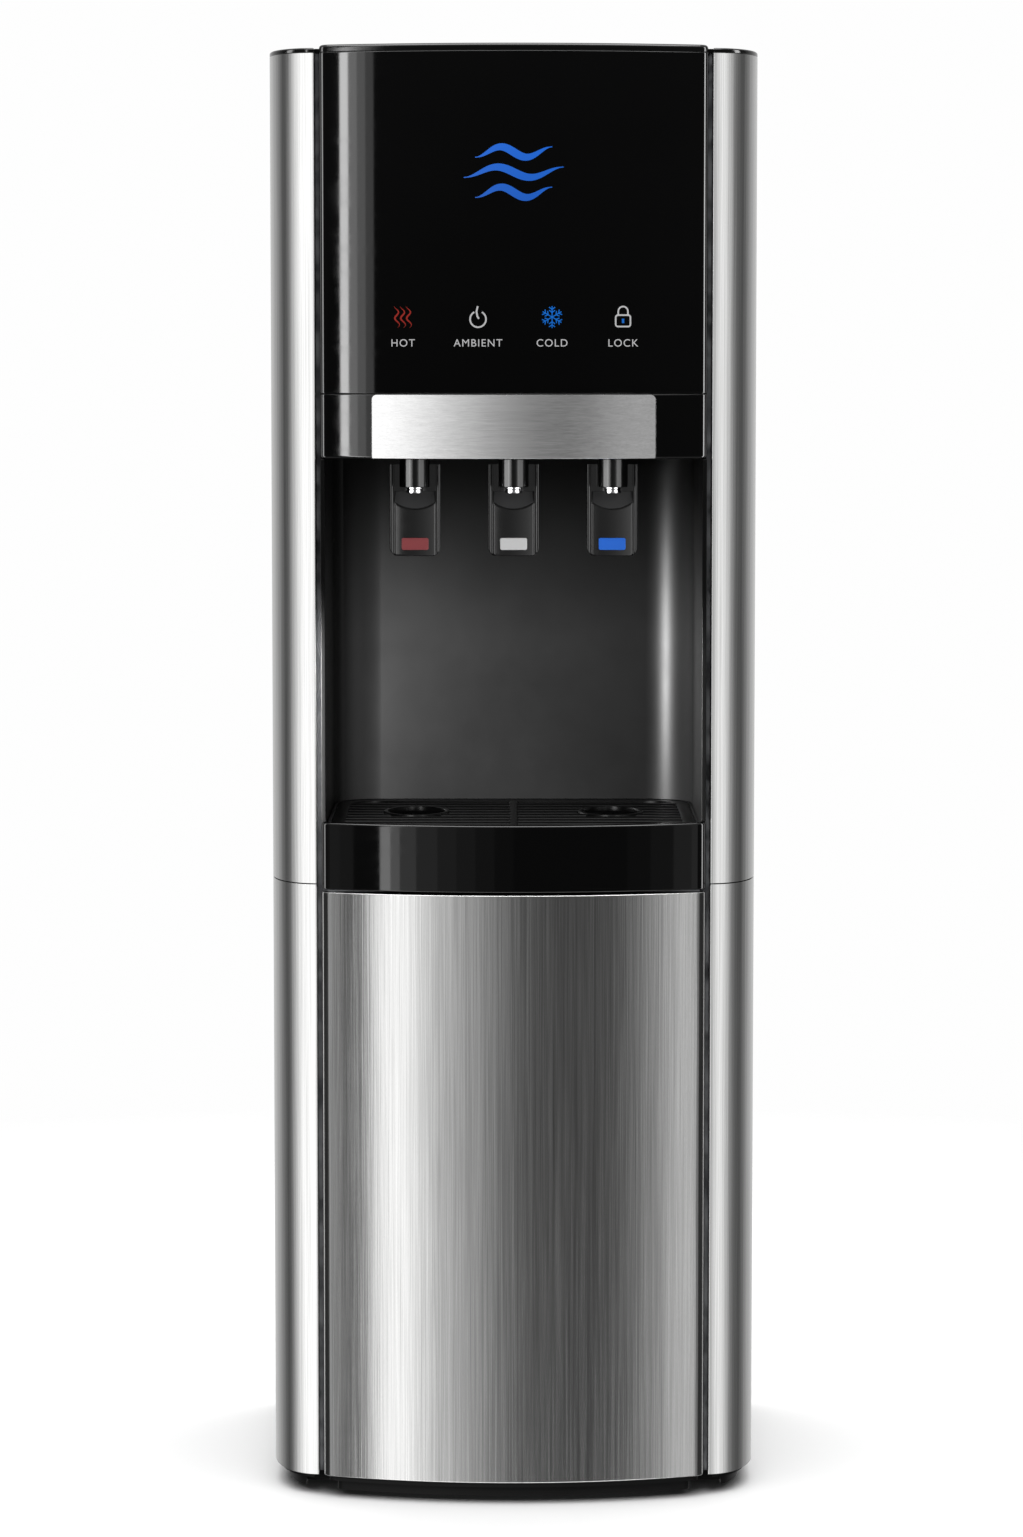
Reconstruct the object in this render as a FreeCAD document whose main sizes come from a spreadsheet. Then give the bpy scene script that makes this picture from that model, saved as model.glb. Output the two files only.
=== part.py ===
import FreeCAD, Part
import math
import operator
import os
import Sketcher
from FreeCAD import Placement, Rotation, Vector

# Floor-standing dispenser for hot, ambient and cold water, in millimetres, with +Z up.
# The origin is on the floor under the middle of the cabinet. The front faces -Y and the right side is +X.

DOC = FreeCAD.newDocument("WaterDispenser")
SHEET = DOC.addObject("Spreadsheet::Sheet", "Sizes")
NODES = []
UP = Vector(0, 0, 1)
BACK = Vector(0, 1, 0)
RIGHT = Vector(1, 0, 0)
OPERATIONS = {"+": operator.add, "-": operator.sub, "*": operator.mul, "/": operator.truediv}
RUN_OVER = 1.0  # how far a cutting block runs past the face that it opens


class Size:
    """A length: an expression on the sheet's cells, with its present value."""

    def __init__(self, text, value):
        self.text = text
        self.value = float(value)

    def __add__(self, other):
        return joined(self, "+", other)

    def __radd__(self, other):
        return joined(other, "+", self)

    def __sub__(self, other):
        return joined(self, "-", other)

    def __rsub__(self, other):
        return joined(other, "-", self)

    def __mul__(self, other):
        return joined(self, "*", other)

    def __rmul__(self, other):
        return joined(other, "*", self)

    def __truediv__(self, other):
        return joined(self, "/", other)

    def __neg__(self):
        return joined(0, "-", self)


def as_size(item):
    return item if isinstance(item, Size) else Size(f"({float(item)!r})", item)


def joined(left, sign, right):
    left = as_size(left)
    right = as_size(right)
    return Size(f"({left.text} {sign} {right.text})", OPERATIONS[sign](left.value, right.value))


def cell(alias, value):
    """A driving dimension: one named cell of the sheet."""
    row = cell.rows = getattr(cell, "rows", 0) + 1
    SHEET.set(f"A{row}", alias)
    SHEET.set(f"B{row}", str(value))
    SHEET.setAlias(f"B{row}", alias)
    return Size(f"Sizes.{alias}", value)


def point(x, y, z):
    return (as_size(x), as_size(y), as_size(z))


def vector(place):
    return Vector(*(part.value for part in place))


# ---------------------------------------------------------------- driving dimensions

# Outside
body_width = cell("body_width", 350)
body_depth = cell("body_depth", 360)
body_height = cell("body_height", 1040)
wing_width = cell("wing_width", 34.5)
wing_gap = cell("wing_gap", 3.2)
wing_setback = cell("wing_setback", 32)
wing_curve_depth = cell("wing_curve_depth", 60)
column_bow = cell("column_bow", 23.4)
column_corner = cell("column_corner", 9)
column_return = cell("column_return", 10.6)
condenser_space = cell("condenser_space", 30)
trim_proud = cell("trim_proud", 1)

# Heights, from the floor up
foot_height = cell("foot_height", 11.5)
base_plate = cell("base_plate", 3)
base_inset = cell("base_inset", 4)
skirt_inset = cell("skirt_inset", 10)
skirt_depth = cell("skirt_depth", 7.5)
foot_radius = cell("foot_radius", 14)
door_gap = cell("door_gap", 1)
tray_front_height = cell("tray_front_height", 48)
alcove_height = cell("alcove_height", 259)
header_height = cell("header_height", 45.7)
fascia_height = cell("fascia_height", 239.5)
lid_height = cell("lid_height", 5.2)
lobe_step = cell("lobe_step", 1.8)
seam = cell("seam", 0.6)
shelf_gap = cell("shelf_gap", 0.4)
wing_seam_drop = cell("wing_seam_drop", 45)

# Walls and sheets
steel = cell("steel", 1)
plastic = cell("plastic", 3)
liner_wall = cell("liner_wall", 3.2)
shelf_steel = cell("shelf_steel", 1.2)
fold = cell("fold", 12)
clearance = cell("clearance", 0.5)
running_fit = cell("running_fit", 0.05)
post_web = cell("post_web", 2)
post_gap = cell("post_gap", 0.5)

# Dispensing alcove and drip tray
alcove_depth = cell("alcove_depth", 209)
alcove_corner = cell("alcove_corner", 35)
tray_wall = cell("tray_wall", 2.2)
tray_ledge = cell("tray_ledge", 4.5)
tray_floor = cell("tray_floor", 2.5)
grille_thickness = cell("grille_thickness", 3)
grille_pitch = cell("grille_pitch", 20)
grille_bar = cell("grille_bar", 7)
cup_hole_width = cell("cup_hole_width", 42)
cup_hole_depth = cell("cup_hole_depth", 64)
cup_hole_rim = cell("cup_hole_rim", 3)

# Taps
tap_pitch = cell("tap_pitch", 71)
spout_setback = cell("spout_setback", 60)
spout_radius = cell("spout_radius", 11)
spout_length = cell("spout_length", 21)
tip_radius = cell("tip_radius", 6.3)
tip_length = cell("tip_length", 4.2)
water_bore = cell("water_bore", 4)
paddle_width = cell("paddle_width", 36.6)
paddle_length = cell("paddle_length", 68)
paddle_depth = cell("paddle_depth", 10)
paddle_corner = cell("paddle_corner", 6)
paddle_rail = cell("paddle_rail", 2.6)
insert_width = cell("insert_width", 19.5)
insert_height = cell("insert_height", 8.7)
pivot_rise = cell("pivot_rise", 13)
pin_radius = cell("pin_radius", 2)
pivot_boss = cell("pivot_boss", 5)

# Trim plate
trim_width = cell("trim_width", 201)

# Door
door_corner_pin = cell("door_corner_pin", 9)
door_pin_radius = cell("door_pin_radius", 2.5)
door_depth = cell("door_depth", 39)
jamb_clearance = cell("jamb_clearance", 4)

# Water and cooling
filter_radius = cell("filter_radius", 30)
filter_length = cell("filter_length", 286)
filter_pitch = cell("filter_pitch", 84)
filter_neck = cell("filter_neck", 15)
cold_tank_radius = cell("cold_tank_radius", 78)
cold_tank_height = cell("cold_tank_height", 150)
insulation_wall = cell("insulation_wall", 22)
hot_tank_radius = cell("hot_tank_radius", 44)
hot_tank_height = cell("hot_tank_height", 230)
copper_radius = cell("copper_radius", 3)
hose_radius = cell("hose_radius", 5)
hose_bore = cell("hose_bore", 3.4)
hose_bend = cell("hose_bend", 10)
compressor_radius = cell("compressor_radius", 62)
compressor_height = cell("compressor_height", 165)
compressor_lift = cell("compressor_lift", 8)
board_width = cell("board_width", 120)
board_height = cell("board_height", 80)
key_pitch = cell("key_pitch", 52)
air_slot_height = cell("air_slot_height", 6)
air_slot_pitch = cell("air_slot_pitch", 15)
air_slot_rows = cell("air_slot_rows", 12)
condenser_pitch = cell("condenser_pitch", 44)
condenser_runs = cell("condenser_runs", 12)
condenser_tube = cell("condenser_tube", 2.5)
condenser_wire = cell("condenser_wire", 0.8)

# ---------------------------------------------------------------- places worked out from them

wall_x = body_width / 2
column_x = wall_x - wing_width - wing_gap
wing_x = wall_x - wing_width
front_y = -body_depth / 2 + trim_proud
rear_y = body_depth / 2 - condenser_space
wing_y = -body_depth / 2 + wing_setback
wing_tangent_y = wing_y + wing_curve_depth
column_radius = (column_x * column_x + column_bow * column_bow) / (2 * column_bow)
arc_y = front_y + column_radius
return_y = front_y + column_bow + column_return

base_top = foot_height + base_plate
door_low = base_top + door_gap
lid_low = body_height - lid_height
fascia_low = lid_low - fascia_height
header_low = fascia_low - seam - header_height
tray_top = header_low - alcove_height
tray_low = tray_top - tray_front_height
liner_low = tray_low - shelf_gap
shelf_low = liner_low - shelf_steel
door_top = shelf_low - shelf_gap
wing_seam_z = tray_top - wing_seam_drop

alcove_x = column_x - liner_wall
alcove_y = front_y + alcove_depth
ceiling_top = header_low + plastic
tank_shelf_z = fascia_low + seam + 20
pivot_z = ceiling_top + pivot_rise
spout_y = front_y + spout_setback
paddle_front_y = spout_y + spout_radius + 1.5
pivot_y = paddle_front_y + paddle_depth - 1
pin_x = column_x - door_corner_pin
door_back_y = front_y + door_depth
pin_y = front_y + column_bow + 6
jamb_y = door_back_y + plastic / 2 + jamb_clearance
post_x = wing_x + steel
port_z = shelf_low - 45
filter_y = jamb_y + filter_radius + 22
filter_top = shelf_low - 34
insulation_y = (jamb_y + 55, rear_y - steel - 1)
cold_tank_y = (insulation_y[0] + insulation_y[1]) / 2
cold_tank_z = tank_shelf_z + insulation_wall
cavity_radius = cold_tank_radius + 2 * copper_radius + 0.5
hot_tank_x = -tap_pitch
hot_tank_y = alcove_y + liner_wall + 8 + hot_tank_radius
compressor_y = rear_y - steel - compressor_radius - 22
discharge_z = base_top + compressor_lift + 90
discharge_x = wall_x - 25
inlet_x = 1.5 * filter_pitch - 21
drain_x = column_x - 27.3
condenser_y = body_depth / 2 - 2 * condenser_wire - condenser_tube
condenser_low = shelf_low + 40
condenser_x = column_x - 12.3
TAPS = (("hot", -1), ("ambient", 0), ("cold", 1))

# ---------------------------------------------------------------- building blocks


def bind(item, path, size):
    item.setExpression(path, as_size(size).text)


def place(item, foot):
    for axis, size in zip("xyz", foot):
        bind(item, f"Placement.Base.{axis}", size)


def box(label, low, high):
    """A block between two corners."""
    item = DOC.addObject("Part::Box", label)
    low = point(*low)
    high = point(*high)
    for prop, start, end in zip(("Length", "Width", "Height"), low, high):
        bind(item, prop, end - start)
    place(item, low)
    return item


def cylinder(label, foot, radius, height, axis=UP):
    item = DOC.addObject("Part::Cylinder", label)
    bind(item, "Radius", radius)
    bind(item, "Height", height)
    item.Placement = Placement(Vector(), Rotation(UP, axis))
    place(item, point(*foot))
    return item


def ellipse_prism(label, centre, half_x, half_y, height):
    """An upright elliptical block whose longer axis runs along Y."""
    ring = DOC.addObject("Part::Ellipse", f"{label}_ring")
    bind(ring, "MajorRadius", half_y)
    bind(ring, "MinorRadius", half_x)
    ring.Placement = Placement(Vector(), Rotation(UP, 90))
    place(ring, point(*centre))
    item = DOC.addObject("Part::Extrusion", label)
    item.Base = ring
    item.DirMode = "Custom"
    item.Dir = UP
    item.Solid = True
    bind(item, "LengthFwd", height)
    return item


def fuse(label, *items):
    item = DOC.addObject("Part::MultiFuse", label)
    item.Shapes = list(items)
    item.Refine = True
    return item


def cut(label, base, *tools):
    item = DOC.addObject("Part::Cut", label)
    item.Base = base
    item.Tool = tools[0] if len(tools) == 1 else fuse(f"{label}_tools", *tools)
    return item


def common(label, *items):
    item = DOC.addObject("Part::MultiCommon", label)
    item.Shapes = list(items)
    return item


def group(label, *items):
    """Separate solids that share one node."""
    item = DOC.addObject("Part::Compound", label)
    item.Links = list(items)
    return item


def mirrored(label, source):
    """The left-hand twin of a right-hand piece."""
    item = DOC.addObject("Part::Mirroring", label)
    item.Source = source
    item.Base = Vector()
    item.Normal = RIGHT
    return item


def rounded(label, base, radius, wanted):
    """The base with a round on every edge whose middle point passes the test."""
    DOC.recompute()
    item = DOC.addObject("Part::Fillet", label)
    item.Base = base
    size = as_size(radius).value
    edges = []
    for index, edge in enumerate(base.Shape.Edges, start=1):
        if wanted(edge.CenterOfMass, edge):
            edges.append((index, size, size))
    item.Edges = edges
    return item


def upright(edge):
    box_ = edge.BoundBox
    return box_.XLength < 1e-3 and box_.YLength < 1e-3


def keep(item):
    """Takes the piece as a node; its label is the node's name."""
    NODES.append(item)
    return item


def origin_plane(body, role):
    return next(plane for plane in body.Origin.OriginFeatures if plane.Role == role)


def new_sketch(body, label, role, offset=0):
    sketch = body.newObject("Sketcher::SketchObject", label)
    sketch.AttachmentSupport = [(origin_plane(body, role), "")]
    sketch.MapMode = "FlatFace"
    bind(sketch, "AttachmentOffset.Base.z", offset)
    return sketch


def held(sketch, kind, geometry, end, size):
    """Ties one end of a line to the sketch's origin, along X or Y."""
    index = sketch.addConstraint(Sketcher.Constraint(kind, -1, 1, geometry, end, as_size(size).value))
    bind(sketch, f"Constraints[{index}]", size)


def polygon(sketch, corners):
    """A closed outline of straight lines through the corners."""
    corners = [(as_size(x), as_size(y)) for x, y in corners]
    first = sketch.GeometryCount
    count = len(corners)
    spots = [Vector(x.value, y.value, 0) for x, y in corners]
    for index, spot in enumerate(spots):
        sketch.addGeometry(Part.LineSegment(spot, spots[(index + 1) % count]), False)
    for index in range(count):
        sketch.addConstraint(Sketcher.Constraint("Coincident", first + index, 2,
                                                 first + (index + 1) % count, 1))
    for index, (x, y) in enumerate(corners):
        held(sketch, "DistanceX", first + index, 1, x)
        held(sketch, "DistanceY", first + index, 1, y)


def rectangle(sketch, low_x, low_y, high_x, high_y):
    polygon(sketch, [(low_x, low_y), (high_x, low_y), (high_x, high_y), (low_x, high_y)])


def circle(sketch, x, y, radius):
    x = as_size(x)
    y = as_size(y)
    middle = Vector(x.value, y.value, 0)
    index = sketch.addGeometry(Part.Circle(middle, UP, as_size(radius).value), False)
    held(sketch, "DistanceX", index, 3, x)
    held(sketch, "DistanceY", index, 3, y)
    size = sketch.addConstraint(Sketcher.Constraint("Radius", index, as_size(radius).value))
    bind(sketch, f"Constraints[{size}]", radius)


def padded(label, low, high, draw):
    """A body padded upwards from one height to another; draw fills its sketch."""
    body = DOC.addObject("PartDesign::Body", label)
    sketch = new_sketch(body, f"{label}_outline", "XY_Plane", low)
    draw(sketch)
    pad = body.newObject("PartDesign::Pad", f"{label}_pad")
    pad.Profile = sketch
    bind(pad, "Length", high - low)
    sketch.Visibility = False
    return body


def pocketed(body, label, high, depth, draw):
    """Cuts straight down into a body from a height; draw fills the pocket's sketch."""
    before = volume_of(body)
    sketch = new_sketch(body, f"{label}_outline", "XY_Plane", high)
    draw(sketch)
    pocket = body.newObject("PartDesign::Pocket", label)
    pocket.Profile = sketch
    bind(pocket, "Length", depth)
    if volume_of(body) >= before:
        raise RuntimeError(f"{label} cuts nothing")
    return pocket


def volume_of(body):
    DOC.recompute()
    return body.Shape.Volume


def revolved(label, centre, outline):
    """A body turned about an upright axis; the outline holds (radius, height) corners."""
    body = DOC.addObject("PartDesign::Body", label)
    sketch = new_sketch(body, f"{label}_outline", "XZ_Plane")
    polygon(sketch, outline)
    turn = body.newObject("PartDesign::Revolution", f"{label}_turn")
    turn.Profile = sketch
    turn.ReferenceAxis = (sketch, ["V_Axis"])
    turn.Angle = 360
    place(body, point(centre[0], centre[1], 0))
    return body


def tube_path(places, bend):
    """Straight runs joined by tangent arcs of one radius."""
    edges = []
    start = vector(places[0])
    for before, corner, after in zip(places, places[1:], places[2:]):
        middle = vector(corner)
        inward = (vector(before) - middle).normalize()
        outward = (vector(after) - middle).normalize()
        half = inward.getAngle(outward) / 2
        reach = bend / math.tan(half)
        arc_start = middle + inward * reach
        arc_end = middle + outward * reach
        bisector = (inward + outward).normalize()
        arc_middle = middle + bisector * (bend / math.sin(half) - bend)
        edges.append(Part.LineSegment(start, arc_start).toShape())
        edges.append(Part.Arc(arc_start, arc_middle, arc_end).toShape())
        start = arc_end
    edges.append(Part.LineSegment(start, vector(places[-1])).toShape())
    return Part.Wire(edges)


def bent_tube(label, places, bend, radius, bore=None):
    """A pipe along a bent route, which no pad or primitive gives; its sizes come from the sheet."""
    path = tube_path(places, as_size(bend).value)
    shape = swept_rod(path, as_size(radius).value)
    if bore is not None:
        shape = shape.cut(swept_rod(path, as_size(bore).value))
    item = DOC.addObject("Part::Feature", label)
    item.Shape = shape
    item.Placement = Placement()
    return item


def swept_rod(path, radius):
    first = path.Edges[0]
    start = first.valueAt(first.FirstParameter)
    section = Part.Wire(Part.Circle(start, first.tangentAt(first.FirstParameter), radius).toShape())
    return path.makePipeShell([section], True, False)


def coil(label, foot, turns, pitch, radius, wire):
    """A round wire wound about an upright axis."""
    spine = DOC.addObject("Part::Helix", f"{label}_spine")
    bind(spine, "Pitch", pitch)
    bind(spine, "Height", turns * pitch)
    bind(spine, "Radius", radius)
    section = DOC.addObject("Part::Circle", f"{label}_section")
    bind(section, "Radius", wire)
    section.Placement = Placement(Vector(), Rotation(RIGHT, 90))
    place(section, point(radius, 0, 0))
    item = DOC.addObject("Part::Sweep", label)
    item.Sections = [section]
    item.Spine = (spine, [])
    item.Solid = True
    item.Frenet = True
    place(item, point(*foot))
    return item


# ---------------------------------------------------------------- the column's curved shape


def column_block(label, inset, low, high, back_y, corner):
    """Everything inside the column's sides and bowed front, with rounded front corners."""
    inset = as_size(inset)
    side = column_x - inset
    slab = box(f"{label}_slab", (-side, front_y + inset, low), (side, back_y, high))
    drum = cylinder(f"{label}_drum", (0, arc_y, low), column_radius - inset, high - low)
    block = common(f"{label}_block", slab, drum)
    edge_x = side.value
    limit_y = as_size(back_y).value - 1

    def front_corner(middle, edge):
        return upright(edge) and abs(abs(middle.x) - edge_x) < 1e-3 and middle.y < limit_y

    return rounded(label, block, corner, front_corner)


def column_shell(label, wall, low, high, bottom, top, back_y=return_y):
    """A curved front with side returns; bottom and top are the flange thicknesses, 0 where it is open."""
    outer = column_block(f"{label}_outer", 0, low, high, back_y, column_corner)
    inner_low = low + bottom if bottom is not None else low - RUN_OVER
    inner_high = high - top if top is not None else high + RUN_OVER
    corner = column_corner - wall
    inner = column_block(f"{label}_inner", wall, inner_low, inner_high, back_y + RUN_OVER, corner)
    return cut(label, outer, inner)


# ---------------------------------------------------------------- base and frame


def base_outline(label, inset, low, high):
    """A block that follows the column's bowed front and both rounded wings, inset from the steel."""
    inset = as_size(inset)
    column = column_block(f"{label}_column", inset, low, high, wing_tangent_y, plastic + 2)
    wing = wing_shape(f"{label}_wing", low, high, inset)
    reach = wing_x + wing_width / 2
    middle = box(f"{label}_middle", (-reach, wing_y + 18 + inset, low), (reach, rear_y - steel - inset, high))
    return fuse(label, column, wing, mirrored(f"{label}_wing_left", wing), middle)


def base_pan():
    """Recessed floor of the cabinet: a plate on a set-back skirt, with the lower door pin's hole."""
    plate = base_outline("base_plate_blank", base_inset, foot_height, base_top)
    hole = cylinder("base_pin_hole", (-pin_x, pin_y, foot_height - RUN_OVER),
                    door_pin_radius + running_fit, base_plate + 2 * RUN_OVER)
    skirt_low = foot_height - skirt_depth
    outer = base_outline("skirt_outer", skirt_inset, skirt_low, foot_height)
    hollow = base_outline("skirt_hollow", skirt_inset + plastic, skirt_low - RUN_OVER, foot_height + RUN_OVER)
    rear = box("skirt_rear_limit", (-body_width, -body_depth, 0),
               (body_width, rear_y - skirt_inset, body_height))
    inside = box("skirt_inner_limit", (-body_width, -body_depth, 0),
                 (body_width, rear_y - skirt_inset - plastic, body_height))
    skirt = cut("base_skirt", common("skirt_block", outer, rear), common("skirt_room", hollow, inside))
    return keep(fuse("base_pan", cut("base_drilled", plate, hole), skirt))


def feet():
    """Four rubber feet under the base plate, inside the skirt."""
    pads = []
    foot_x = wall_x - foot_radius - 26
    for side, hand in (("left", -1), ("right", 1)):
        for row, y in (("front", wing_y + 40 + foot_radius), ("rear", rear_y - 24 - foot_radius)):
            pads.append(revolved(f"foot_{row}_{side}", (hand * foot_x, y), [
                (0, 0), (foot_radius - 3, 0), (foot_radius, 3), (foot_radius, foot_height),
                                                                            (0, foot_height)]))
    return keep(group("feet", *pads))


def frame_posts():
    """Black uprights beside the column: a web inside the wing's hem and a jamb that the door meets."""
    web_front = wing_y + steel + post_gap
    post = padded("frame_post_right", base_top, lid_low, lambda sketch: polygon(sketch, [
        (column_x - fold, jamb_y), (post_x, jamb_y), (post_x, web_front), (post_x + post_web, web_front),
        (post_x + post_web, wing_tangent_y), (post_x, wing_tangent_y), (post_x, jamb_y + plastic),
        (column_x - fold, jamb_y + plastic)]))

    def jamb(sketch):
        rectangle(sketch, column_x - fold - RUN_OVER, jamb_y - RUN_OVER, column_x + 0.4,
                  jamb_y + plastic + RUN_OVER)

    pocketed(post, "post_fascia_relief", lid_low, lid_low - tray_low, jamb)
    pocketed(post, "post_shelf_notch", liner_low + clearance, shelf_steel + 2 * clearance, jamb)
    keep(post)
    keep(mirrored("frame_post_left", post))


def middle_shelf():
    """Painted steel plate between the cabinet and the alcove; its front corner holds the upper door pin."""
    edge = column_x - plastic - 1.3
    shelf = padded("middle_shelf", shelf_low, liner_low, lambda sketch: rectangle(
        sketch, -edge, front_y + column_bow + 1, edge, rear_y - steel))
    pocketed(shelf, "shelf_pin_hole", liner_low, shelf_steel, lambda sketch: circle(
        sketch, -pin_x, pin_y, door_pin_radius + running_fit))
    pocketed(shelf, "shelf_service_window", liner_low, shelf_steel, lambda sketch: rectangle(
        sketch, 12, alcove_y + liner_wall + 8, edge - 8, rear_y - 24))
    return keep(shelf)


# ---------------------------------------------------------------- wings, rear and lid


def wing_shape(label, low, high, inset):
    """The solid outline of the right wing, from its inner edge round to the rear panel."""
    inset = as_size(inset)
    height = high - low
    oval = ellipse_prism(f"{label}_oval", (wing_x, wing_tangent_y, low), wing_width - inset,
                         wing_curve_depth - inset, height)
    quarter = box(f"{label}_quarter", (wing_x + inset, wing_y, low), (wall_x + 1, wing_tangent_y, high))
    nose = common(f"{label}_nose", oval, quarter)
    flank = box(f"{label}_flank", (wing_x + inset, wing_tangent_y - 0.01, low),
                (wall_x - inset, rear_y - steel, high))
    return fuse(label, nose, flank)


def side_panel(level, low, high):
    """One brushed steel wing: a folded sheet with a hem beside the column and a fold at the rear."""
    name = f"side_panel_{level}"
    outer = wing_shape(f"{name}_outer", low, high, 0)
    inner = wing_shape(f"{name}_inner", low - RUN_OVER, high + RUN_OVER, steel)
    sheet = cut(f"{name}_sheet", outer, inner)
    behind = box(f"{name}_behind", (wing_x - 1, wing_y + fold, low - RUN_OVER),
                 (wing_x + steel + 0.01, rear_y, high + RUN_OVER))
    lip = box(f"{name}_lip", (wall_x - fold, rear_y - 2 * steel, low), (wall_x, rear_y - steel, high))
    right = fuse(f"{name}_right", cut(f"{name}_trimmed", sheet, behind), lip)
    keep(right)
    keep(mirrored(f"{name}_left", right))


def rear_panel():
    """Steel back with air slots by the compressor and cut-outs for what passes through it."""
    edge = wall_x - 1.5
    panel = DOC.addObject("PartDesign::Body", "rear_panel")
    sketch = new_sketch(panel, "rear_panel_outline", "XZ_Plane", 0)
    rectangle(sketch, -edge, base_top, edge, lid_low)
    pad = panel.newObject("PartDesign::Pad", "rear_panel_pad")
    pad.Profile = sketch
    bind(pad, "Length", steel)
    before = volume_of(panel)
    slots = new_sketch(panel, "air_slot_outline", "XZ_Plane", 0)
    for side in (-1, 1):
        inner = side * as_size(20)
        outer = side * (column_x - 37.3)
        low_x, high_x = (inner, outer) if side > 0 else (outer, inner)
        rectangle(slots, low_x, base_top + 50, high_x, base_top + 50 + air_slot_height)
    first = panel.newObject("PartDesign::Pocket", "air_slots")
    first.Profile = slots
    first.Type = 1
    first.Reversed = True
    rows = panel.newObject("PartDesign::LinearPattern", "air_slot_rows")
    rows.Originals = [first]
    rows.Direction = (slots, ["V_Axis"])
    rows.Occurrences = int(air_slot_rows.value)
    bind(rows, "Length", (air_slot_rows - 1) * air_slot_pitch)
    panel.Tip = rows
    ports = new_sketch(panel, "port_outline", "XZ_Plane", 0)
    for name, (x, z, half_x, half_z) in REAR_CUTOUTS.items():
        rectangle(ports, x - half_x, z - half_z, x + half_x, z + half_z)
    for x, z, radius in REAR_HOLES.values():
        circle(ports, x, z, radius)
    through = panel.newObject("PartDesign::Pocket", "port_holes")
    through.Profile = ports
    through.Type = 1
    through.Reversed = True
    panel.Tip = through
    place(panel, point(0, rear_y, 0))
    if volume_of(panel) >= before:
        raise RuntimeError("the rear panel's openings cut nothing")
    return keep(panel)


REAR_CUTOUTS = {
    "power": (as_size(60), port_z, 14, 10.2),
    "hot_switch": (as_size(-10), port_z, 9.8, 7),
    "cold_switch": (as_size(20), port_z, 9.8, 7),
}
REAR_HOLES = {
    "inlet": (inlet_x, port_z, 8),
    "drain": (-drain_x, port_z, 9),
    "discharge": (discharge_x, port_z, copper_radius + 1),
}


def top_cover():
    """Black lid: a centre lobe over the column and a cap, a step lower, over each wing."""
    cap_top = body_height - lobe_step
    lobe = column_block("lid_lobe", 0, lid_low, body_height, rear_y, column_corner)
    cap = wing_shape("lid_cap", lid_low, cap_top, 0)
    bridge = box("lid_bridge", (-wall_x, wing_y + fold, lid_low), (wall_x, rear_y - steel, cap_top))
    bridge_trim = box("lid_bridge_front", (-wall_x - 1, wing_y, lid_low - 1),
                      (wall_x + 1, wing_tangent_y, cap_top + 1))
    rear_bridge = cut("lid_rear_bridge", bridge, bridge_trim)
    neck = box("lid_neck", (-wing_x - 2, wing_y + fold, lid_low), (wing_x + 2, wing_tangent_y + 1, cap_top))
    return keep(fuse("top_cover", lobe, cap, mirrored("lid_cap_left", cap), rear_bridge, neck))


# ---------------------------------------------------------------- column front


def column_fronts():
    """The fixed black front: fascia, header with its rounded lower edge, and the steel trim plate."""
    keep(column_shell("upper_fascia", plastic, fascia_low, lid_low, plastic, plastic))
    header = column_shell("header_shell", plastic, header_low, fascia_low - seam, plastic, plastic)
    low = header_low.value
    back = return_y.value

    def lower_front(middle, edge):
        return abs(middle.z - low) < 1e-3 and edge.BoundBox.YMax < back - 1 and edge.BoundBox.ZLength < 1e-3

    keep(rounded("header_panel", header, 2.5, lower_front))
    low_z = header_low + 0.6
    high_z = fascia_low - seam
    slab = box("trim_slab", (-trim_width / 2, front_y - trim_proud, low_z),
               (trim_width / 2, front_y + column_bow, high_z))
    outer = cylinder("trim_outer", (0, arc_y, low_z), column_radius + trim_proud, high_z - low_z)
    inner = cylinder("trim_inner", (0, arc_y, low_z - 1), column_radius, high_z - low_z + 2)
    curved = cut("trim_plate_blank", common("trim_plate_common", slab, outer), inner)
    half = (trim_width / 2).value
    top = high_z.value

    def upper_corner(middle, edge):
        return abs(abs(middle.x) - half) < 0.5 and abs(middle.z - top) < 1e-3

    keep(rounded("steel_trim_plate", curved, 4, upper_corner))


def touch_board():
    """Circuit board with four touch pads and lamps behind the fascia's symbols."""
    board_y = return_y - 5
    middle_z = fascia_low + 54
    board_x = 2 * key_pitch - 9
    board = box("touch_board_plate", (-board_x, board_y, middle_z - 24),
                (board_x, board_y + 1.6, middle_z + 24))
    lamps = []
    for place_number in range(4):
        x = (place_number - 1.5) * key_pitch
        lamps.append(cylinder(f"touch_lamp_{place_number}", (x, board_y - 6, middle_z), 6, 6, BACK))
    stand = box("touch_board_clip", (-40, board_y + 1.6, fascia_low + plastic),
                (40, board_y + 5, middle_z + 24))
    return keep(fuse("touch_board", board, stand, *lamps))


# ---------------------------------------------------------------- alcove, taps and tray


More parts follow.
